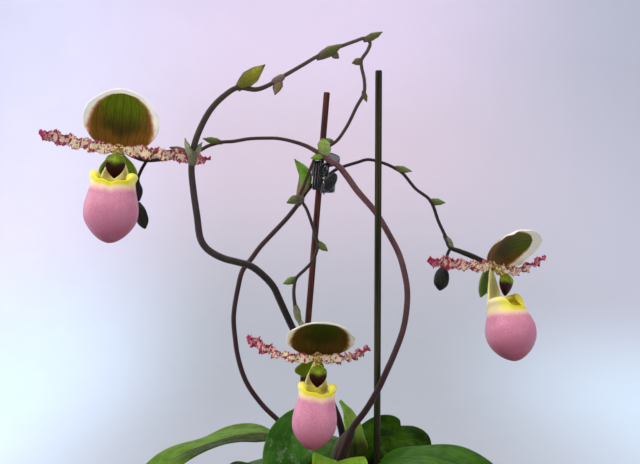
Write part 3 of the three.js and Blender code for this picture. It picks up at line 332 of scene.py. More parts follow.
def along_curve(points, shares):
    """Places and directions at shares of the curve's length."""
    dense, far = curve_length_table(points)
    at = np.asarray(shares, float) * far[-1]
    place = np.stack([np.interp(at, far, dense[:, k]) for k in range(3)], -1)
    direction = np.gradient(dense, far + np.arange(len(far)) * 1e-9, axis=0)
    return place, unit(np.stack([np.interp(at, far, direction[:, k]) for k in range(3)], -1)), far[-1]


def turn_x(p, degrees):
    c, s = math.cos(math.radians(degrees)), math.sin(math.radians(degrees))
    return p @ np.array([[1, 0, 0], [0, c, s], [0, -s, c]])


def turn_y(p, degrees):
    c, s = math.cos(math.radians(degrees)), math.sin(math.radians(degrees))
    return p @ np.array([[c, 0, -s], [0, 1, 0], [s, 0, c]])


def turn_z(p, degrees):
    c, s = math.cos(math.radians(degrees)), math.sin(math.radians(degrees))
    return p @ np.array([[c, s, 0], [-s, c, 0], [0, 0, 1]])


# Meshes

def grid_faces(rows, columns, wrap=False, flip=False, base=0):
    stride = columns if wrap else columns + 1
    i = np.arange(rows)[:, None] * stride
    j = np.arange(columns)[None, :]
    following = (j + 1) % stride
    quads = np.stack([i + j, i + following, i + stride + following, i + stride + j], -1).reshape(-1, 4) + base
    return quads[:, ::-1] if flip else quads


def ring_shell(rings, **marks):
    """A closed skin through rings of points, with both ends closed by a fan."""
    rows, sides = rings.shape[:2]
    verts = np.vstack([rings.reshape(-1, 3), rings[0].mean(0), rings[-1].mean(0)])
    faces = grid_faces(rows - 1, sides, wrap=True).tolist()
    first, last = rows * sides, rows * sides + 1
    top = (rows - 1) * sides
    for j in range(sides):
        k = (j + 1) % sides
        faces.append([k, j, first])
        faces.append([top + j, top + k, last])
    out = {}
    for key, value in marks.items():
        flat = np.broadcast_to(value, rings.shape[:2] + np.shape(value)[2:]).reshape(rows * sides, -1)
        out[key] = np.vstack([flat, flat[:sides].mean(0), flat[-sides:].mean(0)])
    return verts, faces, out


def thick_sheet(middle, thickness, **marks):
    """A closed thin sheet round a grid of middle points. The mark face is 0 on one skin, 1 on the other."""
    rows, columns = middle.shape[0] - 1, middle.shape[1] - 1
    normal = unit(np.cross(np.gradient(middle, axis=1), np.gradient(middle, axis=0)))
    offset = normal * np.broadcast_to(thickness, middle.shape[:2])[..., None] / 2
    count = middle.shape[0] * middle.shape[1]
    verts = np.vstack([(middle + offset).reshape(-1, 3), (middle - offset).reshape(-1, 3)])
    faces = grid_faces(rows, columns).tolist() + grid_faces(rows, columns, flip=True, base=count).tolist()
    stride = columns + 1
    edge = [*range(columns), *(i * stride + columns for i in range(rows)),
            *(rows * stride + j for j in range(columns, 0, -1)), *(i * stride for i in range(rows, 0, -1))]
    for a, b in zip(edge, edge[1:] + edge[:1]):
        faces.append([b, a, count + a, count + b])
    out = {"face": np.concatenate([np.zeros(count), np.ones(count)])[:, None]}
    for key, value in marks.items():
        flat = np.broadcast_to(value, middle.shape[:2] + np.shape(value)[2:]).reshape(count, -1)
        out[key] = np.vstack([flat, flat])
    return verts, faces, out


def blade_middle(spine, back, shape, rows, columns, turn=0, shares=None):
    """Middle points of a blade along a spine. shape(u, t) gives how far they lie to the side and off it."""
    t = np.linspace(0, 1, rows + 1) if shares is None else shares
    u = np.linspace(-1, 1, columns + 1)
    place, along, _ = along_curve(spine, t)
    side = unit(np.cross(along, unit(np.array(back, float))))
    off = unit(np.cross(side, along))
    angle = np.radians(turn) * t[:, None]
    side, off = side * np.cos(angle) - off * np.sin(angle), off * np.cos(angle) + side * np.sin(angle)
    uu, tt = np.meshgrid(u, t)
    sideways, away = shape(uu, tt)
    middle = place[:, None] + side[:, None] * sideways[..., None] + off[:, None] * away[..., None]
    return middle, uu, tt


def frames_along(direction):
    """A steady pair of side directions for each direction along a line."""
    start = np.cross(direction[0], [0.31, 0.95, 0.02])
    sides = [unit(start)]
    for d in direction[1:]:
        last = sides[-1]
        sides.append(unit(last - d * np.dot(last, d)))
    sides = np.array(sides)
    return sides, np.cross(direction, sides)


def hoops(place, along, angle, radius):
    """Rings of points round a line. radius has a row for each place and one column, or one for each angle."""
    first, second = frames_along(along)
    ring = first[:, None] * np.cos(angle)[None, :, None] + second[:, None] * np.sin(angle)[None, :, None]
    return place[:, None] + ring * radius[..., None]


def tube(route, radii, sides=16, step=1.0, **marks):
    """A round tube along a curve. marks give a value for each share along it."""
    _, far = curve_length_table(route)
    count = max(3, int(far[-1] / step))
    t = np.linspace(0, 1, count + 1)
    place, along, length = along_curve(route, t)
    radius = spline(radii, t)
    for end, share in ((0, t), (-1, 1 - t)):
        radius = radius * np.sqrt(1 - np.clip(1 - share * length / radius[end], 0, 0.97) ** 2)
    rings = hoops(place, along, circle(sides), radius[:, None])
    out = {key: np.asarray(value(t) if callable(value) else value, float) for key, value in marks.items()}
    spread = {}
    for key, value in out.items():
        if value.ndim == 0:
            value = np.full(count + 1, float(value))
        elif value.ndim == 1 and len(value) == 3:
            value = np.tile(value, (count + 1, 1))
        value = value.reshape(count + 1, 1, -1)
        spread[key] = np.broadcast_to(value, (count + 1, sides, value.shape[-1]))
    return ring_shell(rings, **spread)


def cones(places, directions, lengths, width):
    """Many fine three-sided hairs."""
    first = unit(np.cross(directions, [0.3, 0.2, 0.93]))
    second = np.cross(directions, first)
    verts = []
    for k in range(3):
        a = 2 * np.pi * k / 3
        verts.append(places + width * (first * math.cos(a) + second * math.sin(a)))
    verts.append(places + directions * np.asarray(lengths)[:, None])
    verts = np.stack(verts, 1).reshape(-1, 3)
    faces = []
    for i in range(0, len(verts), 4):
        faces += [[i, i + 1, i + 3], [i + 1, i + 2, i + 3], [i + 2, i, i + 3], [i + 2, i + 1, i]]
    return verts, faces, {}


def rgb(*value):
    """A colour given in 0 to 255 as it shows on a screen, made linear."""
    v = np.array(value, float) / 255
    return np.where(v <= 0.04045, v / 12.92, ((v + 0.055) / 1.055) ** 2.4)


def make(name, parts, material, place=None):
    """One mesh object from (vertices in mm, faces, marks) parts. Marks become attributes."""
    keys = {}
    for _, _, marks in parts:
        for key, value in marks.items():
            keys[key] = np.asarray(value).reshape(len(value), -1).shape[1]
    verts, faces, base = [], [], 0
    columns = {key: [] for key in keys}
    for points, polygons, marks in parts:
        verts.append(points if place is None else place(points))
        faces += [[index + base for index in polygon] for polygon in polygons]
        for key, width in keys.items():
            blank = np.zeros((len(points), width))
            columns[key].append(np.asarray(marks.get(key, blank), float).reshape(len(points), -1))
        base += len(points)
    mesh = bpy.data.meshes.new(name)
    mesh.from_pydata((np.vstack(verts) * MM).tolist(), [], faces)
    outward = bmesh.new()
    outward.from_mesh(mesh)
    bmesh.ops.recalc_face_normals(outward, faces=outward.faces)
    outward.to_mesh(mesh)
    outward.free()
    for key, width in keys.items():
        data = np.vstack(columns[key])
        if width == 1:
            numbers = mesh.attributes.new(key, "FLOAT", "POINT").data
            numbers.foreach_set("value", data[:, 0].astype(np.float32))
        else:
            colour = np.ones((len(data), 4), np.float32)
            colour[:, :3] = data
            mesh.attributes.new(key, "FLOAT_COLOR", "POINT").data.foreach_set("color", colour.ravel())
    mesh.shade_smooth()
    mesh.validate()
    obj = bpy.data.objects.new(name, mesh)
    bpy.context.scene.collection.objects.link(obj)
    obj.data.materials.append(material)
    return obj


def dress(node, parts, material, place=None):
    """The fine piece that stands for a CAD node."""
    obj = make(f"{node}_look", parts, material, place)
    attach(obj, BODY[node])
    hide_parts(node)
    return obj


# Materials

MIX_INPUTS, MIX_RESULT = (0, 6, 7), 2  # the sockets of a Mix node that carry its factor and its colours


class Paint:
    """A material made of nodes. Values passed to the methods are sockets or plain numbers."""

    def __init__(self, name, roughness=0.5, **inputs):
        self.material = bpy.data.materials.new(name)
        self.material.use_nodes = True
        self.tree = self.material.node_tree
        self.shader = self.tree.nodes["Principled BSDF"]
        self.shader.inputs["Roughness"].default_value = roughness
        for key, value in inputs.items():
            self.shader.inputs[key.replace("_", " ")].default_value = value

    def put(self, socket, value):
        if isinstance(value, bpy.types.NodeSocket):
            self.tree.links.new(value, socket)
        elif socket.type == "RGBA":
            socket.default_value = (*value, 1)
        else:
            socket.default_value = value

    def node(self, kind, **settings):
        node = self.tree.nodes.new(kind)
        for key, value in settings.items():
            setattr(node, key, value)
        return node

    def attribute(self, name, colour=False):
        node = self.node("ShaderNodeAttribute", attribute_name=name)
        return node.outputs["Color" if colour else "Fac"]

    def math(self, operation, a, b=0.0):
        node = self.node("ShaderNodeMath", operation=operation)
        self.put(node.inputs[0], a)
        self.put(node.inputs[1], b)
        return node.outputs[0]

    def times(self, a, b):
        return self.math("MULTIPLY", a, b)

    def plus(self, a, b):
        return self.math("ADD", a, b)

    def absolute(self, a):
        return self.math("ABSOLUTE", a)

    def ramp(self, value, low, high, to_low=0.0, to_high=1.0):
        node = self.node("ShaderNodeMapRange", interpolation_type="SMOOTHSTEP")
        numbers = {"Value": value, "From Min": low, "From Max": high, "To Min": to_low, "To Max": to_high}
        for key, number in numbers.items():
            self.put(node.inputs[key], number)
        return node.outputs[0]

    def shade(self, a, b):
        """Colour a multiplied by b, which is a colour or a plain value."""
        return self.mix(1.0, a, b, "MULTIPLY")

    def mix(self, factor, a, b, blend="MIX"):
        node = self.node("ShaderNodeMix", data_type="RGBA", blend_type=blend)
        for place, value in zip(MIX_INPUTS, (factor, a, b)):
            self.put(node.inputs[place], value)
        return node.outputs[MIX_RESULT]

    def place(self, stretch=(1, 1, 1)):
        node = self.node("ShaderNodeMapping")
        self.tree.links.new(self.node("ShaderNodeTexCoord").outputs["Object"], node.inputs["Vector"])
        node.inputs["Scale"].default_value = stretch
        return node.outputs[0]

    def noise(self, size_mm, detail=2.0, rough=0.5, stretch=(1, 1, 1), vector=None, warp=0.0):
        node = self.node("ShaderNodeTexNoise")
        self.tree.links.new(vector or self.place(stretch), node.inputs["Vector"])
        node.inputs["Scale"].default_value = 1 / (size_mm * MM) if vector is None else 1 / size_mm
        node.inputs["Detail"].default_value = detail
        node.inputs["Roughness"].default_value = rough
        node.inputs["Distortion"].default_value = warp
        return node.outputs["Fac"]

    def cells(self, size_mm):
        node = self.node("ShaderNodeTexVoronoi")
        self.tree.links.new(self.place(), node.inputs["Vector"])
        node.inputs["Scale"].default_value = 1 / (size_mm * MM)
        return node.outputs["Distance"]

    def pair(self, x, y):
        node = self.node("ShaderNodeCombineXYZ")
        self.put(node.inputs[0], x)
        self.put(node.inputs[1], y)
        return node.outputs[0]

    def colour(self, value):
        self.put(self.shader.inputs["Base Color"], value)
        return self

    def relief(self, height, depth_mm=0.1, strength=0.6):
        node = self.node("ShaderNodeBump")
        self.put(node.inputs["Height"], height)
        node.inputs["Distance"].default_value = depth_mm * MM
        node.inputs["Strength"].default_value = strength
        self.tree.links.new(node.outputs["Normal"], self.shader.inputs["Normal"])
        return self

    def rough(self, value):
        self.put(self.shader.inputs["Roughness"], value)
        return self


# Materials of each kind

def stem_paint():
    p = Paint("stem", 0.6, Specular_IOR_Level=0.2, Sheen_Weight=0.14)
    tint = p.attribute("tint", True)
    fine = p.ramp(p.noise(0.7, 4, 0.65), 0.3, 0.75, 0.65, 1.25)
    broad = p.ramp(p.noise(6, 2), 0.3, 0.7, 0.85, 1.15)
    p.colour(p.shade(p.shade(tint, fine), broad))
    return p.relief(p.noise(0.35, 3), 0.12, 0.7).material


def leaf_paint():
    p = Paint("leaf", 0.55, Specular_IOR_Level=0.16, IOR=1.2, Subsurface_Weight=0.05, Subsurface_Scale=0.001)
    p.shader.inputs["Subsurface Radius"].default_value = (0.6, 1.0, 0.3)
    u, t = p.attribute("u"), p.attribute("t")
    away = p.absolute(u)
    broad = p.ramp(p.noise(8, 3, 0.6), 0.35, 0.68)
    top = p.mix(broad, p.attribute("tint", True), p.attribute("tint2", True))
    vein_place = p.pair(p.times(u, 12.0), p.times(t, 2.0))
    vein = p.noise(0.6, 2, 0.5, vector=vein_place)
    top = p.shade(top, p.ramp(vein, 0.35, 0.7, 0.88, 1.1))
    pale = p.shade(p.attribute("tint", True), (1.6, 1.4, 1.5))
    top = p.mix(p.ramp(away, 0.05, 0.005, 0.0, 0.5), top, pale)
    top = p.mix(p.ramp(away, 0.965, 0.995, 0.0, 0.5), top, pale)
    # speck is small pale specks in cells, and broad pale grey patches that are painted sheen.
    speck = p.times(p.ramp(p.cells(2.2), 0.4, 0.1, 0.0, 0.5), p.ramp(p.noise(5, 2), 0.5, 0.62))
    painted_sheen_patches = p.times(p.ramp(p.noise(5, 4, 0.7), 0.5, 0.72), 0.4)
    speck = p.times(p.math("MAXIMUM", speck, painted_sheen_patches), p.attribute("speck"))
    top = p.mix(speck, top, rgb(168, 186, 150))
    withered = p.mix(p.ramp(p.noise(2.5, 3), 0.4, 0.6), rgb(60, 62, 20), rgb(48, 34, 20))
    top = p.mix(p.attribute("low"), top, withered)
    # Painted shade: the near half takes the darker back colour, with dark freckles in it.
    dots = p.ramp(p.noise(1.0, 3, 0.75), 0.47, 0.57)
    shade = p.mix(dots, p.attribute("back", True), rgb(36, 22, 16))
    top = p.mix(p.attribute("purple"), top, shade)
    under = p.mix(p.ramp(vein, 0.4, 0.6), p.attribute("back", True), p.attribute("tint2", True))
    p.colour(p.mix(p.attribute("face"), under, top))
    p.rough(p.ramp(p.noise(4, 2), 0.3, 0.7, 0.42, 0.6))
    height = p.plus(p.times(vein, 0.8), p.noise(0.5, 2))
    return p.relief(height, 0.15, 0.45).material


def dorsal_paint():
    p = Paint("dorsal_sepal", 0.5, Specular_IOR_Level=0.1, Subsurface_Weight=0.3, Subsurface_Scale=0.0015)
    p.shader.inputs["Subsurface Radius"].default_value = (1.0, 0.95, 0.8)
    u, t, inside = p.attribute("u"), p.attribute("t"), p.attribute("inside")
    wobble = p.times(p.math("SUBTRACT", p.noise(2.0, 3, 0.6), 0.5), 0.12)
    edge = p.plus(inside, wobble)
    flank = p.plus(p.attribute("flank"), p.times(wobble, 2.0))
    streak = p.noise(0.5, 3, 0.6, vector=p.pair(p.times(u, 16.0), p.times(t, 3.0)))
    green = p.mix(p.ramp(t, 0.3, 0.8), rgb(68, 56, 4), rgb(98, 112, 0))
    dome_colour = p.mix(p.ramp(flank, 0.25, 0.85), green, rgb(124, 84, 22))
    line = p.absolute(p.math("SINE", p.times(p.attribute("vein"), 14.0)))
    line = p.times(p.ramp(line, 0.34, 0.05), p.ramp(streak, 0.25, 0.6))
    dome_colour = p.mix(p.times(line, 0.6), dome_colour, rgb(44, 26, 4))
    dome_colour = p.shade(dome_colour, p.ramp(streak, 0.3, 0.7, 0.7, 1.2))
    # Painted shade: where dark is set, the dome, the cream rim and the blush are all painted darker, for a
    # hood in shade.
    deep = p.mix(p.ramp(flank, 0.1, 0.6), rgb(32, 38, 2), rgb(58, 44, 6))
    dome_colour = p.mix(p.attribute("dark"), dome_colour, deep)
    cream = p.mix(p.ramp(t, 0.15, 0.7), rgb(252, 226, 208), rgb(255, 247, 230))
    cream = p.mix(p.times(p.attribute("dark"), 0.45), cream, rgb(206, 190, 140))
    blush = p.mix(p.attribute("dark"), rgb(190, 128, 84), rgb(150, 124, 52))
    blush = p.mix(p.ramp(edge, 0.0, 0.11), blush, cream)
    inner = p.mix(p.ramp(edge, -0.06, 0.035), dome_colour, blush)
    outer_green = p.mix(p.times(line, 0.5), rgb(130, 132, 56), rgb(84, 62, 32))
    outer = p.mix(p.ramp(edge, -0.1, 0.1), outer_green, cream)
    p.colour(p.mix(p.attribute("face"), outer, inner))
    return p.relief(p.plus(p.times(line, -0.5), p.noise(0.3, 2)), 0.15, 0.4).material


def petal_paint():
    p = Paint("petal", 0.5, Specular_IOR_Level=0.2, Subsurface_Weight=0.08, Subsurface_Scale=0.0006)
    u, t, tip = p.attribute("u"), p.attribute("t"), p.attribute("tip")
    away = p.absolute(u)
    base = p.mix(p.ramp(p.noise(3, 2), 0.3, 0.7), rgb(250, 236, 184), rgb(244, 208, 186))
    base = p.mix(p.times(p.attribute("blush"), 0.6), base, rgb(214, 116, 146))
    base = p.mix(tip, base, rgb(186, 66, 100))
    blotch_place = p.pair(p.times(u, 1.6), p.times(t, 40.0))
    blotch = p.noise(1.9, 2, 0.55, vector=blotch_place, warp=0.6)
    share = p.plus(p.times(away, 0.06), p.times(p.attribute("blush"), 0.03))
    spot = p.ramp(p.plus(blotch, share), 0.56, 0.59)
    spot = p.math("MAXIMUM", spot, p.ramp(p.plus(p.noise(1.1, 2), share), 0.615, 0.645))
    wart = p.times(p.ramp(away, 0.72, 0.95), p.ramp(p.noise(1.0, 2), 0.4, 0.5))
    dark = p.math("MAXIMUM", spot, p.times(wart, 0.75))
    maroon = p.mix(p.ramp(p.noise(2.4, 2), 0.4, 0.6), rgb(134, 14, 44), rgb(168, 40, 80))
    p.colour(p.mix(p.times(dark, 0.95), base, maroon))
    return p.relief(p.plus(p.times(dark, 0.6), p.noise(0.35, 2)), 0.25, 0.6).material


def pouch_paint():
    p = Paint("pouch", 0.42, Specular_IOR_Level=0.3, Subsurface_Weight=0.12, Subsurface_Scale=0.0012)
    depth, low = p.attribute("depth"), p.attribute("low")
    wobble = p.times(p.math("SUBTRACT", p.noise(2.2, 3), 0.5), 1.4)
    edge = p.plus(depth, wobble)
    pink = p.mix(p.ramp(low, 0.3, 0.95), rgb(226, 150, 174), rgb(142, 50, 62))
    fine = p.noise(0.45, 3, 0.7)
    pink = p.mix(p.ramp(fine, 0.4, 0.68, 0.0, 0.5), pink, rgb(176, 80, 106))
    pink = p.mix(p.ramp(p.noise(5, 3), 0.45, 0.65, 0.0, 0.3), pink, rgb(194, 110, 142))
    speck = p.times(p.ramp(p.cells(0.7), 0.3, 0.12), p.ramp(p.noise(1.5, 2), 0.46, 0.66))
    pink = p.mix(p.times(speck, 0.3), pink, rgb(132, 44, 76))
    cream = p.mix(p.ramp(edge, 2.0, 5.6), rgb(250, 214, 178), pink)
    rim = p.mix(p.attribute("ear"), rgb(240, 226, 30), rgb(252, 240, 104))
    rim = p.mix(p.attribute("rear"), rim, rgb(252, 232, 176))
    skin = p.mix(p.ramp(edge, 0.7, 2.9), rim, cream)
    lining = p.mix(p.ramp(p.cells(0.9), 0.3, 0.12, 0.0, 0.45), rgb(255, 236, 112), rgb(160, 84, 40))
    lining = p.mix(p.ramp(depth, 0.3, 3.0), rgb(255, 240, 80), lining)
    claw = p.mix(p.ramp(p.noise(1.4, 2), 0.4, 0.65), rgb(255, 248, 172), rgb(252, 238, 130))
    skin = p.mix(p.attribute("inner"), skin, lining)
    p.colour(p.mix(p.attribute("claw"), skin, claw))
    p.rough(p.ramp(fine, 0.3, 0.7, 0.34, 0.52))
    return p.relief(p.plus(fine, p.times(p.noise(1.6, 2), 0.8)), 0.09, 0.5).material


def column_paint():
    p = Paint("staminode", 0.4, Specular_IOR_Level=0.14)
    wobble = p.times(p.math("SUBTRACT", p.noise(1.2, 3), 0.5), 0.25)
    low = p.plus(p.attribute("low"), wobble)
    green = p.mix(p.ramp(p.noise(0.9, 2), 0.35, 0.65), rgb(120, 138, 20), rgb(84, 98, 14))
    shield = p.mix(p.ramp(low, 0.3, 0.46), green, rgb(44, 8, 8))
    hub = p.mix(p.ramp(p.noise(1.1, 2), 0.4, 0.56), rgb(236, 216, 140), rgb(140, 60, 56))
    # Painted highlight: the knob is painted pale yellow-green.
    knob = p.mix(p.attribute("knob"), shield, rgb(160, 180, 36))
    p.colour(p.mix(p.attribute("shield"), hub, knob))
    return p.relief(p.noise(0.4, 3), 0.12, 0.5).material


def sepal_paint():
    p = Paint("synsepal", 0.5, Specular_IOR_Level=0.1)
    u, t = p.attribute("u"), p.attribute("t")
    streak = p.noise(0.5, 3, 0.6, vector=p.pair(p.times(u, 12.0), p.times(t, 3.0)))
    green = p.mix(p.ramp(streak, 0.35, 0.65), rgb(84, 108, 10), rgb(124, 150, 28))
    line = p.absolute(p.math("SINE", p.times(u, 11.0)))
    green = p.mix(p.ramp(line, 0.25, 0.03, 0.0, 0.4), green, rgb(48, 60, 12))
    p.colour(p.mix(p.ramp(p.absolute(u), 0.88, 1.0, 0.0, 0.4), green, rgb(180, 186, 96)))
    return p.relief(streak, 0.12, 0.4).material


def bud_paint():
    p = Paint("bud", 0.55, Specular_IOR_Level=0.2)
    streak = p.noise(0.8, 3, 0.6, stretch=(1, 1, 0.3))
    p.colour(p.mix(p.ramp(streak, 0.35, 0.7), rgb(14, 17, 10), rgb(38, 42, 24)))
    return p.relief(streak, 0.2, 0.6).material


def stake_paint(name, dark, light, end):
    p = Paint(name, 0.5, Specular_IOR_Level=0.16)
    streak = p.noise(0.9, 4, 0.6, stretch=(1, 1, 0.02))
    patch = p.noise(9, 2, 0.5, stretch=(1, 1, 0.25))
    wood = p.mix(p.ramp(streak, 0.35, 0.68), rgb(*dark), rgb(*light))
    wood = p.shade(wood, p.ramp(patch, 0.3, 0.7, 0.8, 1.2))
    p.colour(p.mix(p.attribute("end"), wood, rgb(*end)))
    p.rough(p.ramp(streak, 0.3, 0.7, 0.35, 0.55))
    return p.relief(p.plus(streak, p.times(p.noise(0.3, 2), 0.4)), 0.12, 0.5).material


def clip_paint():
    p = Paint("clip", 0.14, Coat_Weight=0.3, Coat_Roughness=0.05)
    p.colour(p.mix(p.ramp(p.noise(1.5, 2), 0.4, 0.7), rgb(9, 10, 12), rgb(22, 24, 28)))
    p.rough(p.ramp(p.noise(1.1, 3), 0.35, 0.7, 0.1, 0.24))
    return p.relief(p.noise(0.8, 2), 0.03, 0.3).material


def wire_paint():
    p = Paint("wire", 0.3, Metallic=1.0)
    p.colour(p.mix(p.ramp(p.noise(0.4, 2), 0.4, 0.6), rgb(150, 150, 152), rgb(190, 190, 192)))
    return p.relief(p.noise(0.2, 2), 0.02, 0.3).material


def pot_paint():
    p = Paint("pot", 0.5)
    base = p.mix(p.ramp(p.noise(14, 3), 0.35, 0.65), rgb(74, 62, 54), rgb(88, 74, 64))
    dust = p.times(p.ramp(p.noise(3, 4, 0.7), 0.5, 0.75), 0.35)
    p.colour(p.mix(dust, base, rgb(126, 112, 98)))
    p.rough(p.ramp(p.noise(5, 3), 0.3, 0.7, 0.42, 0.62))
    return p.relief(p.plus(p.noise(0.35, 2), p.times(p.noise(9, 1), 0.5)), 0.06, 0.5).material


def bark_paint():
    p = Paint("bark", 0.85)
    tint = p.attribute("tint", True)
    grain = p.noise(1.6, 5, 0.7, stretch=(1, 0.45, 1))
    wood = p.shade(tint, p.ramp(grain, 0.3, 0.72, 0.45, 1.45))
    p.colour(p.mix(p.ramp(p.noise(4, 3, 0.7), 0.58, 0.7, 0.0, 0.5), wood, rgb(60, 40, 30)))
    return p.relief(p.plus(grain, p.noise(0.6, 3)), 0.5, 0.8).material


def crown_paint():
    p = Paint("crown", 0.5, Specular_IOR_Level=0.25)
    tint = p.attribute("tint", True)
    streak = p.noise(0.8, 3, 0.6, stretch=(1, 1, 0.12))
    p.colour(p.shade(tint, p.ramp(streak, 0.3, 0.7, 0.7, 1.25)))
    return p.relief(streak, 0.25, 0.6).material


PAINT = {
    "stem": stem_paint(), "leaf": leaf_paint(), "dorsal": dorsal_paint(), "petal": petal_paint(),
    "pouch": pouch_paint(), "column": column_paint(), "sepal": sepal_paint(), "bud": bud_paint(),
    "brown": stake_paint("brown_stake", (42, 16, 14), (90, 42, 32), (120, 90, 70)),
    "green": stake_paint("green_stake", (28, 28, 12), (62, 58, 28), (80, 70, 44)),
    "clip": clip_paint(), "wire": wire_paint(), "pot": pot_paint(), "bark": bark_paint(),
    "crown": crown_paint(),
}


# Flowers

# How each pouch's mouth differs: the rim's raise, its ears' height, where its notch lies in degrees and how
# deep that is cut, how much higher the right ear is, the span of the pale rear rim, and the claw's breadth.
# deep is the depth of the shield before the mouth.
MOUTHS = {
    "flower_left": {"raise": -1.2, "ear": 1.1, "notch": -2},
    "flower_bottom": {"raise": 0.7, "ear": 1.2, "notch": 10, "cut": 0.4},
    "flower_right": {
        "raise": -3.2, "ear": 3.2, "notch": 26, "cut": 0.8, "right": 2.1, "rear": (-0.5, 0.1), "claw": 1.3,
        "deep": 1.6,
    },
}


def ease(count):
    """Shares from 0 to 1, close together at both ends."""
    return (1 - np.cos(np.linspace(0, np.pi, count + 1))) / 2


def dome(t):
    """How wide the dorsal sepal is at a share of its height, from 0 to 1."""
    bulge = np.where(t < 0.5, DORSAL["lowBulge"], DORSAL["highBulge"])
    return np.sin(np.pi * np.clip(t, 0, 0.999)) ** bulge


def dorsal_sepal(hood, rim, dark, seed):
    """The hooded sepal. rim is how much of its width and height the green part takes, and dark is how much
    painted shade darkens it.
    """
    length, half, base, cup, set_back = (DORSAL[k] for k in ("length", "halfWidth", "base", "cup", "setBack"))
    scale, spine = hood["scale"], []
    # It leans further forward the nearer it comes to its tip.
    for t in np.linspace(0, 1, 9):
        angle = math.radians(hood["lean"] * (0.35 + 0.9 * t))
        reach = scale * length * t
        spine.append([0, set_back - reach * math.sin(angle), 1 + reach * math.cos(angle)])

    def shape(u, t):
        width = np.maximum(base * (1 - 0.7 * t ** 8), scale * hood.get("broad", 1) * half * dome(t))
        width = width * (1 + 0.01 * np.sin(19 * t + seed) * smooth(0, 0.3, t))
        rim_wave = 0.4 * np.abs(u) ** 5 * np.sin(25 * t + 2.2 * u + seed) * np.sin(np.pi * t)
        return width * np.sin(1.25 * u) / math.sin(1.25), -cup * u * u * np.sin(np.pi * t) + rim_wave

    middle, u, t = blade_middle(spine, [0, 1, 0.001], shape, 72, 56, shares=ease(72))
    across = np.sin(1.25 * u) / math.sin(1.25) * dome(t)
    # inside is below 0 in the green part and above 0 in the cream rim. flank grows to the sides and the foot.
    high = rim[1]
    green = spline(DORSAL["greenShare"], t) * rim[0] * dome(np.minimum(t / high, 1))
    inside = np.abs(across) - green + smooth(high, 1, t) * 0.16 + smooth(high - 0.04, high + 0.04, t) * 0.2
    flank = np.abs(across) * 0.95 + smooth(0.4, 0.0, t) * 0.8 - smooth(0.55, 1.0, t) * 0.25
    vein = across / np.maximum(dome(t), 0.2) * (0.55 + 0.45 * dome(t))
    middle = turn_y(turn_z(middle, hood["turn"]), hood["roll"])
    return thick_sheet(middle, BLADE - 0.35 * np.abs(u) ** 6, u=across, t=t, inside=inside, flank=flank,
                       vein=vein, dark=np.full(t.shape, dark))


def synsepal(behind):
    spine = []
    for t in np.linspace(0, 1, 7):
        angle = math.radians(behind["leanBack"] * (1.2 - 0.5 * t))
        reach = behind["length"] * t
        spine.append([0, 1.6 + reach * math.sin(angle), -1 - reach * math.cos(angle)])

    def shape(u, t):
        return spline(SYNSEPAL["half"], t) * u, -SYNSEPAL["cup"] * u * u * np.sin(np.pi * t)

    middle, u, t = blade_middle(spine, [0, 1, 0], shape, 36, 24)
    return thick_sheet(turn_z(middle, behind.get("turn", 0)), BLADE - 0.3 * np.abs(u) ** 6, u=u, t=t)


def petal(side, form, crisp, blush, pinch, seed):
    """A frilled petal and the hairs along its margins."""
    random = np.random.default_rng(seed)
    wave, waves, forward, bow = (PETAL[k] for k in ("wave", "waves", "forward", "bow"))
    sweep = math.radians(form["sweep"])
    spine = []
    for t in np.linspace(0.04, 1, 13):
        across = math.sin(math.pi * t)
        spine.append([side * form["length"] * math.cos(sweep) * t,
                      form["length"] * math.sin(sweep) * t * t - forward - bow * across,
                      form["rise"] * t ** 1.5 - form["sag"] * across])
    # Warts that last for two rows make each margin look notched, and not jagged.
    rows = 150
    warts = np.repeat(random.normal(0, 1, (rows // 2 + 1, 2)), 2, axis=0)[:rows + 1]
    phase = random.uniform(0, 6, 4)

    def shape(u, t):
        pinched = 1 - pinch * np.exp(-(((t - 0.4) / 0.16) ** 2)) + 0.4 * pinch * smooth(0.55, 0.75, t)
        width = spline(PETAL["half"], t) * pinched
        rough = np.where(u < 0, warts[:, :1], warts[:, 1:]) * np.abs(u) ** 3
        width = width * (1 + 0.075 * rough) * (1 + 0.07 * np.sin(39 * t + phase[0]) * np.sign(u) * np.abs(u))
        ripple = wave * u * np.sin(2 * np.pi * waves * t + u)
        curls = 0.7 * np.sin(2 * np.pi * 15 * t + phase[1] + u) + 0.5 * np.sin(2 * np.pi * 26 * t + phase[2])
        frill = np.abs(u) ** 2.5 * curls
        return width * u, (ripple + crisp * frill) * np.minimum(1, 4 * t)

    middle, u, t = blade_middle(spine, [0, 1, 0.25], shape, rows, 16, turn=side * PETAL["twist"])
    tip = smooth(0.78, 0.97, t)
    thick = BLADE * (1 - 0.45 * np.abs(u) ** 4)
    parts = [thick_sheet(middle, thick, u=u, t=t, tip=tip, blush=blush * smooth(0.3, 0.75, t))]
    # Fine hairs stand out from both margins.
    for column, inner in ((0, 2), (-1, -3)):
        rows_at = np.arange(8, rows - 2, 2)
        out = unit(middle[rows_at, column] - middle[rows_at, inner])
        out = unit(out + random.normal(0, 0.35, out.shape))
        hair = cones(middle[rows_at, column], out, random.uniform(0.5, 1.4, len(rows_at)), 0.055)
        full = np.ones((len(hair[0]), 1))
        parts.append((hair[0], hair[1], {"tip": 0.8 * full, "u": full}))
    return parts


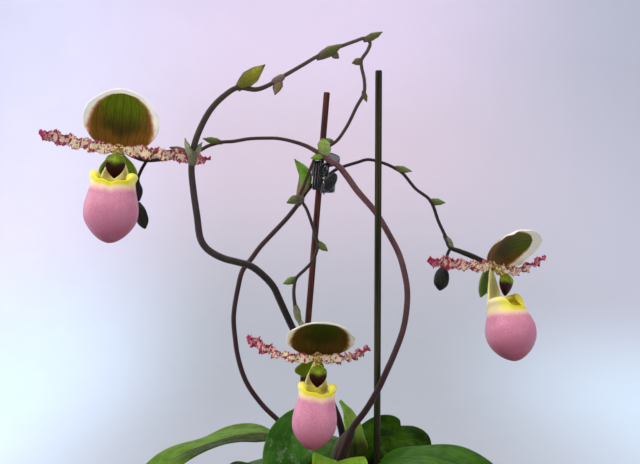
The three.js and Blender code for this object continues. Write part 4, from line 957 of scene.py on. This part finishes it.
def pouch(values, mouth):
    """The pouch with its rolled rim and raised ears, and the claw that carries it."""
    sides, wall = 144, POUCH["wall"]
    angle = circle(sides)
    # Degrees from the front of the mouth, below 0 on its left.
    place = np.degrees(np.arctan2(np.cos(angle), -np.sin(angle)))
    around = np.abs(place)
    waves = np.fft.fftfreq(sides) * sides

    def soft(v, sharpness):
        return np.real(np.fft.ifft(np.fft.fft(v) * np.exp(-((waves / sharpness) ** 2))))

    # An ear on each side, a dip and a notch at the front, and a pale rear.
    ear = soft(smooth(40, 58, around) * (1 - smooth(110, 140, around)), 20)
    front = np.maximum(0, 1 - (around / 70) ** 2)
    notch = np.exp(-(((place - mouth["notch"]) / 9) ** 2))
    first_rear, last_rear = mouth.get("rear", (0.0, 0.6))
    rearward = np.sin(angle)
    behind = np.where(np.cos(angle) < 0, smooth(first_rear, last_rear, rearward), smooth(0.0, 0.6, rearward))
    front_lift = -POUCH["dip"] * (0.4 * front + mouth.get("cut", 0.55) * notch)
    tall = mouth["ear"] + mouth.get("right", 0) * (np.cos(angle) > 0)
    lift_all = soft(tall * ear + front_lift, 20) + mouth["raise"]
    lift_all = lift_all + 0.12 * np.sin(5 * angle + mouth["notch"]) * (1 - ear)
    # The last level runs on past the foot, so that the curves through the levels meet there without a point.
    girth = values["girth"]
    levels = [*POUCH["levels"][:-1], POUCH["levels"][-1], POUCH["levels"][-2]]
    half_widths = [*POUCH["halfWidths"][:-1], 0, -POUCH["halfWidths"][-2]]
    half_depths = [*POUCH["halfDepths"][:-1], 0, -POUCH["halfDepths"][-2]]
    last = len(levels) - 2
    crease = np.exp(-(((angle - 1.5 * np.pi) / 0.1) ** 2))

    def ring(level, grow, raise_by=0.0, inner=0.0):
        share = level / (last + 1)
        lift = np.interp(level, [0, 1, 2, 3], [1, 0.6, 0.2, 0])
        z = spline(levels, share) + lift * lift_all + raise_by
        dent = -0.35 * crease * math.exp(-level / 1.2) * (1 - inner)
        x = (spline(half_widths, share) * girth + grow + dent) * np.cos(angle)
        y = (spline(half_depths, share) * girth + grow + dent) * np.sin(angle) - values["forward"]
        points = np.stack([x, y, z], -1)
        line = levels[0] - 0.3 + 0.6 * front_lift + mouth["raise"] + 1.3 * behind
        return points, line - z, np.full(sides, level / last), np.full(sides, inner), behind, ear

    # The outside from the foot up, then the rolled rim, then the inside down again.
    flare = 0.15 + 0.35 * ear
    bead = 0.5 + 1.75 * ear
    rings = [ring(level, flare * smooth(0.9, 0.0, level)) for level in np.linspace(last - 0.01, 0, 76)]
    for turn in np.linspace(0.15, 0.95, 10) * math.pi:
        rings.append(ring(0, flare - bead * (1 - math.cos(turn)), bead * math.sin(turn), float(turn > 2.2)))
    for level in np.linspace(0.08, last - 0.5, 40):
        inward = flare * smooth(0.9, 0.0, level) - wall - (2 * bead - wall) * smooth(0.7, 0.0, level)
        rings.append(ring(level, inward, wall * smooth(3, 5, level), 1.0))
    points = np.array([r[0] for r in rings]) - [0, 0, values["drop"]]
    names = ("depth", "low", "inner", "rear", "ear")
    marks = {key: np.array([r[i] for r in rings])[..., None] for i, key in enumerate(names, 1)}
    shell = ring_shell(turn_x(points, -values["swing"]), **marks)
    # The claw comes down from the hub to the inside of the rear wall.
    seam = np.array([0, POUCH["halfDepths"][1] * girth - values["forward"] - wall / 2,
                     POUCH["levels"][1] - values["drop"] - wall])
    seam = turn_x(seam, -values["swing"])

    def shape(u, t):
        return spline(CLAW["half"], t) * u * mouth.get("claw", 1), -spline(CLAW["cup"], t) * u * u

    spine = [[0, -0.6, -1.5], [0, seam[1] * 0.45, seam[2] * 0.5], seam]
    middle, u, t = blade_middle(spine, [0, 1, 0], shape, 30, 20)
    claw = thick_sheet(middle, 1 - 0.4 * np.abs(u) ** 4, claw=1 - smooth(0.9, 1, t), depth=1.5 + t * 2)
    return [shell, claw]


def column(drop, deep=1.0):
    """The hub, the short column and the shield that stands before the mouth."""
    lower = drop / 4
    a = circle(40)
    polar = np.linspace(0.06, 0.94, 20) * np.pi
    globe = np.stack([np.sin(polar)[:, None] * np.cos(a), np.sin(polar)[:, None] * np.sin(a),
                      np.cos(polar)[:, None] * np.ones_like(a)], -1) * COLUMN["hub"]
    route = [[0, 0, 0], [0, -4.6, -1.6], [0, -8.4, -4.5 - lower]]
    stalk = tube(route, COLUMN["neck"], 20, 0.5, shield=0.4, low=0.1)
    v = np.linspace(0.01, 0.99, 40)[:, None]
    width = spline(COLUMN["shieldWidths"], v)
    depth = spline(COLUMN["shieldDepths"], v)
    bulge = np.where(np.sin(a) < 0, 1.15, 0.8)
    z = COLUMN["shieldTop"] - COLUMN["shieldTall"] * v + 0 * a
    x = width * np.cos(a)
    # A knob stands high on the shield's front, and its pale colour is a painted highlight.
    knob = np.exp(-((x / 1.5) ** 2) - ((z - 2.2) / 1.6) ** 2) * (np.sin(a) < 0)
    y = deep * depth * np.sin(a) * bulge - 0.7 * knob - 0.5 * np.abs(np.cos(a)) ** 4
    skin = np.stack([x, y - COLUMN["shieldForward"], z - COLUMN["shieldDrop"] - lower], -1)
    shield = ring_shell(skin, shield=np.ones(x.shape + (1,)), low=(v + 0 * a)[..., None],
                        knob=knob[..., None] * 0.75)
    return [ring_shell(globe), stalk, shield]


def flower(name, values, crisp, blush, pinch, rim, dark, seed):
    def place(points):
        turned = turn_z(turn_y(points * values["size"], values["roll"]), values["yaw"])
        return turned + np.array(values["centre"])

    dress(f"{name}_dorsal_sepal", [dorsal_sepal(values["hood"], rim, dark, seed)], PAINT["dorsal"], place)
    dress(f"{name}_synsepal", [synsepal(values["behind"])], PAINT["sepal"], place)
    for side, word, more in ((-1, "left", 10), (1, "right", 20)):
        blade = petal(side, values["petal" + word.title()], crisp, blush, pinch, seed + more)
        dress(f"{name}_petal_{word}", blade, PAINT["petal"], place)
    dress(f"{name}_pouch", pouch(values, MOUTHS[name]), PAINT["pouch"], place)
    dress(f"{name}_column", column(values["drop"], MOUTHS[name].get("deep", 1)), PAINT["column"], place)


# Stems, buds and bracts

def tints(colours):
    """A mark that runs through the given colours along a stem."""
    return lambda t: np.stack([spline([rgb(*c)[k] for c in colours], t) for k in range(3)], -1)


def bract(values, colour, low_colour, edge=0.55):
    """A boat-shaped bract: low_colour at its base, and darker along its edges and at its tip."""
    base, tip = np.array(values["base"], float), np.array(values["tip"], float)
    back = unit(np.array(values["back"], float))
    middle = values.get("middle", ((base + tip) / 2 + back * np.linalg.norm(tip - base) * 0.12).tolist())

    outline = [0.7, 1, 1, 0.9, 0.4] if values.get("blunt") else [0.45, 0.9, 1, 0.7, 0.06]
    curl = values.get("curl", 0.75)

    def shape(u, t):
        width = values["half"] * spline(outline, t) * (1 - 0.6 * smooth(0.93, 1, t))
        return width * u, -width * curl * u * u + 0.08 * width * np.sin(19 * t + 3 * u) * np.abs(u)

    middle_points, u, t = blade_middle([values["base"], middle, values["tip"]], values["back"], shape, 26, 14)
    dark = np.maximum(smooth(0.75, 1, np.abs(u)), smooth(0.85, 1, t))[..., None] * edge
    vein = (0.5 + 0.5 * np.sin(u * 24))[..., None] * 0.16
    low = smooth(0.55, 0.15, t)[..., None]
    green = rgb(*colour) * (1 - low) + rgb(*low_colour) * low
    tint = green * (1 - vein) * (1 - dark) + rgb(64, 44, 32) * dark
    return thick_sheet(middle_points, 0.7 - 0.35 * np.abs(u) ** 4, tint=tint)


def fuzz(route, radii, count, seed, first=0.0, length=0.6):
    """Fine pale hairs that stand out from a stem."""
    random = np.random.default_rng(seed)
    share = random.uniform(first, 0.995, count)
    share.sort()
    place, along, _ = along_curve(route, share)
    out = unit(np.cross(along, random.normal(size=(count, 3))))
    hair = cones(place + out * spline(radii, share)[:, None] * 0.93, unit(out + along * 0.3),
                 random.uniform(0.4, 1, count) * length, 0.03)
    return hair[0], hair[1], {"tint": np.tile(rgb(150, 132, 120), (len(hair[0]), 1))}


def stem(name, values, bracts, look, carried, seed):
    route = [*values["route"], carried["centre"]]
    parts = [tube(route, values["radii"], 18, 0.9, tint=tints(look["tints"]))]
    if "side" in values:
        parts.append(tube(values["side"], values["sideRadii"], 12, 0.7, tint=rgb(*look["side"])))
    parts += [bract(b, *colours) for b, colours in zip(bracts, look["bracts"], strict=True)]
    for start, end, radius, colour in look["sheaths"]:
        radii = [radius * 0.75, radius, radius, radius * 0.8]
        parts.append(tube([start, end], radii, 18, 0.4, tint=rgb(*colour)))
    parts.append(fuzz(route, values["radii"], 2600, seed))
    dress(name, parts, PAINT["stem"])


def bud(name, start, end, half, seed):
    t = np.linspace(0, 1, 48)
    place, along, _ = along_curve([start, end], t)
    a = circle(48)
    radius = half * spline([0.4, 0.85, 1, 0.9, 0.3], t)
    blunt = np.sqrt(1 - np.clip(1 - (1 - t) * 9, 0, 0.97) ** 2)
    ridges = 1 + 0.035 * np.cos(6 * a)[None, :] * np.sin(np.pi * t)[:, None]
    rings = hoops(place, along, a, (radius * blunt)[:, None] * ridges)
    hairs = fuzz([start, end], [half * v for v in (0.4, 0.85, 1, 0.9, 0.2)], 260, seed)
    dress(name, [ring_shell(rings), hairs], PAINT["bud"])


# Screen colours: along each stem from its base, of its side shoot, of each bract (blade, base and how dark
# its edge is), and of its sheaths, each with its two ends and its radius.
STEM_LOOKS = {
    "arched": {
        "tints": [(36, 20, 24), (38, 24, 24), (40, 28, 26), (44, 32, 26), (58, 44, 42), (58, 46, 38),
                  (64, 54, 36), (78, 62, 46), (86, 66, 60), (66, 46, 44), (52, 36, 34), (46, 34, 30),
                  (42, 32, 24)],
        "side": (60, 46, 42),
        "bracts": [((142, 138, 28), (120, 110, 28), 0.95), ((124, 106, 66), (120, 88, 66)),
                   ((92, 98, 40), (96, 74, 60)), ((104, 88, 56), (90, 70, 52)), ((98, 104, 46), (92, 78, 50)),
                   ((104, 88, 44), (92, 72, 48)), ((96, 84, 46), (80, 64, 44)),
                   ((100, 116, 48), (84, 74, 44)), ((92, 106, 50), (80, 76, 44)),
                   ((92, 108, 44), (84, 78, 44)), ((96, 126, 44), (90, 100, 44)),
                   ((112, 112, 78), (96, 88, 64)), ((146, 150, 112), (126, 122, 88)),
                   ((146, 150, 112), (126, 122, 88))],
        "sheaths": [([-66, -40.5, 249.5], [-65, -41, 257.5], 2.1, (104, 100, 74)),
                    ([-17.2, -21.6, 178], [-14.8, -24.2, 173], 1.35, (116, 116, 94)),
                    ([-30, -31.8, 289.2], [-24, -30.4, 293], 1.75, (122, 98, 88)),
                    ([-17.4, -4, 238.5], [-16, -4, 234.5], 1.35, (90, 76, 58))],
    },
    "right": {
        "tints": [(46, 22, 24), (50, 26, 28), (58, 32, 34), (70, 42, 44), (90, 58, 58), (104, 66, 70),
                  (118, 76, 78), (74, 48, 44), (62, 40, 34), (50, 34, 28), (38, 28, 22)],
        "side": (34, 28, 26),
        "bracts": [((168, 190, 90), (150, 160, 100)), ((124, 164, 36), (130, 156, 50)),
                   ((92, 104, 34), (74, 66, 34)), ((104, 102, 74), (84, 76, 54)),
                   ((66, 46, 26), (40, 30, 18))],
        "sheaths": [],
    },
    "left": {
        "tints": [(54, 30, 36), (60, 34, 40), (68, 40, 44), (70, 44, 44), (64, 42, 38), (50, 34, 32),
                  (42, 30, 26), (34, 26, 22), (30, 26, 20)],
        "side": (40, 34, 28),
        "bracts": [((112, 158, 34), (142, 110, 74)), ((108, 104, 56), (92, 80, 50)),
                   ((108, 122, 54), (84, 74, 44)), ((96, 114, 50), (80, 74, 44)),
                   ((108, 110, 76), (84, 80, 54))],
        "sheaths": [([-19.4, 2.2, 232.8], [-17, 2.8, 236.6], 1.6, (84, 68, 52)),
                    ([56.2, -2.4, 214.5], [58.6, -3, 211.6], 1.3, (104, 106, 72))],
    },
}


# Leaves

# top and other mix on the upper face, and back is the underside and the painted shade of the near half.
# speck, purple and low are how much pale specks with painted sheen patches, painted shade with dark freckling
# and withered base show. ripple is the wave of the very edge, and rise lifts the leaf in mm.
LEAF_LOOKS = {
    "leaf_long_left": {"top": (94, 126, 44), "other": (76, 108, 28), "back": (46, 68, 8), "purple": 0.95},
    "leaf_front_dark": {"top": (48, 94, 26), "other": (68, 114, 40), "back": (60, 92, 48), "speck": 0.8},
    "leaf_small_left": {"top": (28, 50, 18), "other": (40, 66, 24), "back": (46, 70, 30)},
    "leaf_big_right": {"top": (54, 98, 4), "other": (40, 78, 3), "back": (84, 120, 26)},
    "leaf_wavy_back_right": {"top": (50, 82, 12), "other": (24, 44, 8), "back": (56, 88, 18)},
    "leaf_small_upright": {
        "top": (166, 202, 92), "other": (124, 168, 64), "back": (130, 166, 78), "ripple": 0.7, "low": 0.9,
    },
    "leaf_low_front": {"top": (116, 158, 30), "other": (92, 138, 26), "back": (126, 166, 40), "rise": 2.5},
    "leaf_back_left": {"top": (52, 84, 30), "other": (38, 66, 22), "back": (70, 96, 44)},
    "leaf_back": {"top": (56, 88, 30), "other": (40, 66, 22), "back": (70, 96, 44)},
    "leaf_back_right": {"top": (52, 84, 30), "other": (38, 66, 22), "back": (70, 96, 44)},
}


def leaf(name, values):
    look = LEAF_LOOKS[name]
    rise = look.get("rise", 0)
    route = [[x, y, z + rise * min(1, i / 2)] for i, (x, y, z) in enumerate(values["spine"])]

    def shape(u, t):
        width = spline(values["half"], t)
        ripple = values["wave"] * u * u * np.sin(t * 17 + u * 1.7) * np.sin(np.pi * t)
        fine = look.get("ripple", 0.15) * np.abs(u) ** 3 * np.sin(t * 31 + u * 2.5)
        ripple = ripple + fine * np.sin(np.pi * t)
        fold = np.sqrt(u * u + 0.0016) - 0.04
        groove = -0.5 * np.exp(-((u / 0.05) ** 2)) + 0.1 * np.sin(26 * u) * (1 - u * u)
        return width * u, -width * values["fold"] * fold + ripple - groove * (1 - t) ** 0.5

    middle, u, t = blade_middle(route, values["back"], shape, 96, 36, turn=values["twist"])
    flat = np.ones(u.shape + (1,))
    # The half that is nearer to the front is painted darker as painted shade, with dark freckles on it.
    near = -1 if middle[48, 0, 1] < middle[48, -1, 1] else 1
    thick = 1.1 - 0.5 * np.abs(u) ** 4 - 0.35 * t
    even = {"tint": rgb(*look["top"]), "tint2": rgb(*look["other"]), "back": rgb(*look["back"]),
            "speck": look.get("speck", 0)}
    low = look.get("low", 0) * smooth(0.62, 0.42, t)
    purple = look.get("purple", 0) * smooth(0.78, 0.6, t) * smooth(0.02, 0.12, u * near)
    part = thick_sheet(middle, thick, u=u, t=t, low=low, purple=purple,
                       **{key: flat * value for key, value in even.items()})
    dress(name, [part], PAINT["leaf"])


def crown(node, x, y, colour):
    """Leaf bases that wrap one another in a short crown."""
    a = circle(72)
    rings, marks = [], []
    for z, share in ((CROWN["bottom"], 1.0), (84, 1.02), (90, 1.0), (CROWN["top"] - CROWN["shoulder"], 0.98),
                     (95.4, 0.88), (96.6, 0.8), (96.2, 0.62), (94.5, 0.5)):
        fold = 1 + 0.05 * np.cos(2 * a + z * 0.08) - 0.09 * np.abs(np.sin(1.5 * a + 0.6))
        radius = CROWN["radius"] * share * fold
        rings.append(np.stack([x + radius * np.cos(a), y + radius * np.sin(a), np.full(len(a), z)], -1))
        pale = rgb(170, 176, 120) if z < 86 else rgb(*colour)
        marks.append(np.tile(pale, (len(a), 1)))
    dress(node, [ring_shell(np.array(rings), tint=np.array(marks))], PAINT["crown"])


# Stakes, pot and bark

def stake(node, values, paint):
    foot, top = np.array(values["foot"], float), np.array(values["top"], float)
    share = np.concatenate([[0, 0.0006], np.linspace(0.004, 0.996, 180), [0.9994, 1, 1, 1]])
    inset = np.concatenate([[0.86, 0.97], np.ones(180), [0.97, 0.86, 0.6, 0.3]])
    place = foot + share[:, None] * (top - foot)
    along = np.tile(unit(top - foot), (len(share), 1))
    a = circle(40)
    radius = values["radius"] * inset[:, None] * (1 + 0.008 * np.sin(3 * a + 1)[None, :])
    rings = hoops(place, along, a, radius)
    end = np.concatenate([np.zeros(183), [0.6, 1, 1]])[:, None, None] * np.ones((1, 40, 1))
    dress(node, [ring_shell(rings, end=end)], paint)


def lathe(profile, sides):
    a = circle(sides)
    p = np.array(profile, float)
    rings = np.stack([p[:, :1] * np.cos(a), p[:, :1] * np.sin(a), p[:, 1:] + 0 * a], -1)
    return rings


def pot():
    height, top, foot, wall = POT["height"], POT["topRadius"], POT["footRadius"], POT["wall"]
    slope = (top - POT["rimLip"] - foot) / height
    rim = height - POT["rimHeight"]

    def outer(z):
        return foot + slope * z

    profile = [(30, 0.5), (foot - 3.4, 0.5), (foot - 2.6, 0), (foot - 0.7, 0), (foot, 0.8)]
    profile += [(outer(z), z) for z in np.linspace(2, rim - 0.9, 24)]
    profile += [(outer(rim) + 0.3, rim - 0.3), (top - 1.3, rim), (top - 0.7, rim + 0.25)]
    profile += [(top - 0.55, rim + 0.9)]
    rise = POT["rimHeight"] - 1.7
    profile += [(top - 0.55 + 0.55 * s, rim + 0.9 + s * rise) for s in np.linspace(0.1, 1, 8)]
    profile += [(top - 0.15, height - 0.3), (top - 0.6, height), (top - 1.1, height)]
    profile += [(top - 1.5, height - 0.4)]
    profile += [(outer(z) - wall, z) for z in np.linspace(height - 2.2, POT["floor"] + 1, 20)]
    profile += [(outer(POT["floor"]) - wall - 1, POT["floor"]), (30, POT["floor"])]
    piece = dress("pot", [ring_shell(lathe(profile, 144))], PAINT["pot"])
    # The drain holes are cut while the script runs, and the cut mesh takes the place of the plain one.
    drills = []
    for a in np.arange(POT["holes"]) * 2 * np.pi / POT["holes"]:
        ring = lathe([(POT["holeRadius"], -2), (POT["holeRadius"], POT["floor"] + 2)], 32)
        drills.append(ring_shell(ring + [POT["holeRing"] * np.cos(a), POT["holeRing"] * np.sin(a), 0]))
    drill = make("drill", drills, PAINT["pot"])
    cut = piece.modifiers.new("holes", "BOOLEAN")
    cut.operation, cut.solver, cut.object = "DIFFERENCE", "EXACT", drill
    bpy.context.view_layer.update()
    drilled = bpy.data.meshes.new_from_object(piece.evaluated_get(bpy.context.evaluated_depsgraph_get()))
    piece.modifiers.remove(cut)
    piece.data = drilled
    bpy.data.objects.remove(drill)


def bark():
    """A bed of bark with loose chips on top."""
    random = np.random.default_rng(7)
    slope = (POT["topRadius"] - POT["rimLip"] - POT["footRadius"]) / POT["height"]

    def inner(z):
        return POT["footRadius"] + slope * z - POT["wall"] - 0.3

    parts = []
    bed = [(0.5, 2.9), (inner(3), 2.9)] + [(inner(z), z) for z in np.linspace(10, MEDIUM_TOP - 3, 8)]
    bed += [(inner(MEDIUM_TOP) - 1.5, MEDIUM_TOP - 1.2)] + [(r, MEDIUM_TOP - 1) for r in (36, 28, 20, 12, 4)]
    rings = lathe(bed, 60)
    parts.append(ring_shell(rings, tint=np.tile(rgb(52, 36, 27), rings.shape[:2] + (1,))))
    # Chips spread evenly by the golden angle, each turned and sized at random.
    golden = math.pi * (3 - math.sqrt(5))
    for i in range(230):
        radius = 41.5 * math.sqrt((i + 0.5) / 230)
        size = random.uniform(0.7, 1.5) * np.array([3.6, 2.2, 1.1])
        polar, around = np.linspace(0.08, 0.92, 7) * np.pi, circle(12)
        ball = np.stack([np.sin(polar)[:, None] * np.cos(around), np.sin(polar)[:, None] * np.sin(around),
                         np.cos(polar)[:, None] + 0 * around], -1)
        rugged = 1 + random.normal(0, 0.07, ball.shape[:2])[..., None]
        ball = np.sign(ball) * np.abs(ball) ** 0.55 * rugged * size
        ball = turn_y(turn_x(ball, random.normal(0, 16)), random.normal(0, 16))
        ball = turn_z(ball, random.uniform(0, 360))
        a = i * golden
        ball = ball + [radius * math.cos(a), radius * math.sin(a), MEDIUM_TOP - 0.4 + random.uniform(0, 1.6)]
        tone = rgb(*(np.array([112, 76, 52]) * random.uniform(0.55, 1.25)))
        parts.append(ring_shell(ball, tint=np.tile(tone, ball.shape[:2] + (1,))))
    dress("growing_medium", parts, PAINT["bark"])


# The clip

def lean(points):
    return points + (points[..., 2:] - CLIP["middle"]) * np.array([LEAN, 0, 0])


def jaw_band(plan, low, high, first=0.0, last=1.0, thickness=None):
    """A bent strip with rounded edges, following the same plan and heights as the solid."""
    x, y = CLIP["hinge"]
    route = [[x + right, y + away, 0] for right, away in [(0, 0), *plan]]
    share = np.linspace(first, last, 26)
    place, along, _ = along_curve(route, share)
    side = np.stack([-along[:, 1], along[:, 0], 0 * share], -1)
    half_height = (high - low) / 2 * (1 - (1 - CLIP["tipShare"]) * share ** 2)
    ends = 1
    for run in (share - first, last - share):
        ends = ends * np.sqrt(1 - np.clip(1 - run * 12, 0, 0.9) ** 2)
    half_thick = (thickness or CLIP["jawThickness"]) / 2
    a = circle(24)
    flat = np.sign(np.cos(a)) * np.abs(np.cos(a)) ** 0.45
    tall = np.sign(np.sin(a)) * np.abs(np.sin(a)) ** 0.35
    rings = place[:, None] + side[:, None] * (flat * half_thick)[None, :, None] * ends[:, None, None]
    rings = rings + np.array([0, 0, 1.0]) * (tall[None, :] * (half_height * ends)[:, None])[..., None]
    rings[..., 2] += (low + high) / 2
    return ring_shell(lean(rings))


def rounded_plate(values):
    """A plate with a superellipse outline and softly rounded edges."""
    a = circle(48)

    def bent(v):
        return np.sign(v) * np.abs(v) ** values["corner"]

    rings = []
    for turn in np.linspace(-1, 1, 11) * math.pi / 2 * 0.96:
        inset = 0.6 * (1 - math.cos(turn))
        y = values["thickness"] / 2 * math.sin(turn)
        rings.append(np.stack([(values["halfWidth"] - inset) * bent(np.cos(a)), np.full(len(a), y),
                               (values["halfHeight"] - inset) * bent(np.sin(a))], -1))
    x, y = CLIP["hinge"]
    aside, away, up = values["place"]
    return turn_y(np.array(rings), values["turn"]) + [x + aside, y + away, CLIP["middle"] + up]


def plate_with_ribs(values, ribs):
    """The plate, with raised ribs along its front."""
    parts = [ring_shell(lean(rounded_plate(values)))]
    for share in ribs:
        rib = {**values, "halfWidth": 0.34, "halfHeight": values["halfHeight"] * 0.78, "thickness": 0.7,
               "corner": 0.8}
        shift = turn_y(np.array([values["halfWidth"] * share, -values["thickness"] / 2, 0.0]), values["turn"])
        parts.append(ring_shell(lean(rounded_plate(rib) + shift)))
    return parts


def upright(radius, low, high, sides=28):
    bevel = min(0.3, radius * 0.4)
    rows = [(radius - bevel, low), (radius, low + bevel), (radius, high - bevel), (radius - bevel, high)]
    x, y = CLIP["hinge"]
    return ring_shell(lean(lathe(rows, sides) + [x, y, 0]))


def clip():
    low, middle, high, knuckle, pin = (CLIP[k] for k in ("low", "middle", "high", "knuckle", "pin"))
    fixed_low, moving_high = middle + CLIP["room"], middle - CLIP["room"]

    def claw(plan, bottom, top, start=0.52):
        parts = [jaw_band(plan, bottom, top, 0, start + 0.1)]
        third = (top - bottom) / 3
        for k in range(3):
            foot, head = bottom + k * third + 0.35, bottom + (k + 1) * third - 0.35
            parts.append(jaw_band(plan, foot, head, start, 1.0))
        return parts

    fixed = [upright(knuckle, fixed_low, high)]
    fixed += claw(FIXED_CLAW, fixed_low, high)
    fixed += [jaw_band(FIXED_ARM, fixed_low, high),
              jaw_band(FIXED_HANDLE, middle + 5.4, high + 5.6, thickness=2.2)]
    fixed += plate_with_ribs(FRONT_PLATE, (-0.3, 0.4))
    moving = [upright(knuckle, low, moving_high)]
    moving += claw(MOVING_CLAW, low, moving_high)
    moving += [jaw_band(MOVING_ARM, low, moving_high)]
    moving += plate_with_ribs(THUMB_TAB, (-0.42, 0, 0.42))
    dress("clip_fixed_jaw", fixed, PAINT["clip"])
    dress("clip_moving_jaw", moving, PAINT["clip"])
    dress("clip_pin", [upright(pin, low - CLIP["pinEnd"], high + CLIP["pinEnd"])], PAINT["wire"])
    x, y = CLIP["hinge"]
    radius, wire, turns, half = SPRING["radius"], SPRING["wire"], SPRING["turns"], SPRING["halfHeight"]
    route = [[x + radius * math.cos(a), y + radius * math.sin(a), middle + half * (a / math.pi / turns - 1)]
             for a in np.linspace(0, 2 * turns * math.pi, 40)]
    verts, faces, _ = tube(route, [wire, wire], 8, 0.3)
    dress("clip_spring", [(lean(verts), faces, {})], PAINT["wire"])


# Everything in its place

# The petals' crispness, blush and pinch, how much of the hood is green, how dark its painted shade is, and the
# random seed.
FLOWER_LOOKS = {
    "flower_left": (0.7, 0.45, 0.15, (1, 0.93), 0.0, 1),
    "flower_bottom": (1.1, 0.9, 0.35, (1, 0.93), 0.75, 2),
    "flower_right": (0.9, 0.8, 0.25, (1.05, 0.85), 0.3, 3),
}
STEMS = {
    "arched": (ARCHED_STEM, "flower_bottom"), "right": (RIGHT_STEM, "flower_left"),
    "left": (LEFT_STEM, "flower_right"),
}
for number, (key, (route_values, flower_name)) in enumerate(STEMS.items()):
    carried = FLOWERS[flower_name]
    stem(f"flowering_stem_{key}", route_values, BRACTS[key], STEM_LOOKS[key], carried, 40 + number)
    crown(f"crown_{key}", *route_values["route"][0][:2], (124, 150, 70))
for leaf_name, leaf_values in LEAVES.items():
    leaf(leaf_name, leaf_values)
for flower_name, looks in FLOWER_LOOKS.items():
    flower(flower_name, FLOWERS[flower_name], *looks)
for bud_name, bud_values in BUDS.items():
    bud(bud_name, **bud_values)
stake("stake_brown", BROWN_STAKE, PAINT["brown"])
stake("stake_green", GREEN_STAKE, PAINT["green"])
pot()
bark()
clip()


# Floor, light and camera

def backdrop():
    """A pale floor that sweeps up into a pale wall, with painted light and shade on it."""
    bend, wall_y, top = 0.7, 1.35, 2.6
    line = [(-3.0, 0.0), (-1.0, 0.0), (0.0, 0.0), (wall_y - bend, 0.0)]
    line += [(wall_y - bend + bend * math.sin(a), bend - bend * math.cos(a))
             for a in np.linspace(0.05, math.pi / 2, 24)]
    line += [(wall_y, z) for z in np.linspace(bend + 0.1, top, 8)]
    across = np.linspace(-3.0, 3.0, 13)
    verts = [(x, y, z) for y, z in line for x in across]
    mesh = bpy.data.meshes.new("floor")
    mesh.from_pydata(verts, [], grid_faces(len(line) - 1, len(across) - 1).tolist())
    mesh.shade_smooth()
    floor = bpy.data.objects.new("floor", mesh)
    bpy.context.scene.collection.objects.link(floor)
    p = Paint("floor_paper", 0.95)
    where = p.node("ShaderNodeSeparateXYZ")
    p.tree.links.new(p.place(), where.inputs[0])
    x, z = where.outputs[0], where.outputs[2]
    # Painted light: darker low in the middle, brighter higher and to the left, duller right, bright low
    # corners.
    middle = p.mix(p.ramp(z, 0.02, 0.4), rgb(160, 166, 172), rgb(206, 192, 205))
    paper = p.mix(p.ramp(z, 0.35, 0.66), middle, rgb(230, 215, 237))
    paper = p.mix(p.ramp(x, 0.1, 0.62, 0.0, 0.9), paper, rgb(190, 194, 208))
    paper = p.mix(p.ramp(x, -0.15, -0.6), paper, rgb(232, 230, 253))
    low_edge = p.ramp(x, -0.1, 0.2, 0.25, 0.12)
    corner = p.times(p.ramp(p.absolute(x), 0.12, 0.46), p.ramp(z, low_edge, -0.06))
    paper = p.mix(corner, paper, rgb(214, 240, 255))
    p.colour(p.mix(p.ramp(p.noise(60, 3), 0.3, 0.7, 0.0, 0.06), paper, rgb(190, 190, 205)))
    mesh.materials.append(p.material)


def light(name, at, aim, size, watts, colour):
    data = bpy.data.lights.new(name, "AREA")
    data.shape, data.size, data.size_y, data.energy, data.color = "RECTANGLE", size, size * 0.7, watts, colour
    lamp = bpy.data.objects.new(name, data)
    lamp.location = at
    towards = np.array(aim, float) - np.array(at, float)
    lamp.rotation_euler = Vector(towards.tolist()).to_track_quat("-Z", "Y").to_euler()
    bpy.context.scene.collection.objects.link(lamp)


# Where each light stands, where it aims, its size in metres, its watts and its colour.
LIGHTS = {
    "key": ((-0.75, -0.75, 1.0), (0, 0, 0.22), 0.5, 7.8, (1.0, 0.98, 0.96)),
    "fill": ((0.85, -1.0, 0.55), (0, 0, 0.2), 0.9, 5, (1.0, 0.98, 0.98)),
    "edge": ((-0.95, 0.1, 0.4), (-0.05, 0, 0.22), 0.6, 3, (1.0, 0.98, 1.0)),
    "back": ((0.15, 0.75, 1.1), (0, 0, 0.2), 0.9, 4.5, (1.0, 0.98, 1.0)),
    "wall": ((0, 0.2, 2.0), (0, 1.3, 0.25), 1.6, 22, (1.0, 0.99, 1.0)),
}
backdrop()
for lamp_name, lamp_values in LIGHTS.items():
    light(lamp_name, *lamp_values)
world = bpy.data.worlds.new("studio")
world.use_nodes = True
world.node_tree.nodes["Background"].inputs[0].default_value = (*rgb(232, 226, 232), 1)
world.node_tree.nodes["Background"].inputs[1].default_value = 0.3
bpy.context.scene.world = world
bpy.context.scene.view_settings.view_transform = "Standard"
bpy.context.scene.cycles.use_denoising = True

# Half a millimetre shows as one pixel at y = 0 in a picture 640 wide, as in the photo.
CAMERA = {"place": (-0.0075, -0.46, 0.22), "sensor": 36, "lens": 51.75, "nearest": 0.01, "farthest": 20}
camera = bpy.data.objects.new("camera", bpy.data.cameras.new("camera"))
camera.data.sensor_width, camera.data.lens = CAMERA["sensor"], CAMERA["lens"]
camera.data.clip_start, camera.data.clip_end = CAMERA["nearest"], CAMERA["farthest"]
camera.location, camera.rotation_euler = CAMERA["place"], (math.pi / 2, 0, 0)
bpy.context.scene.collection.objects.link(camera)
bpy.context.scene.camera = camera
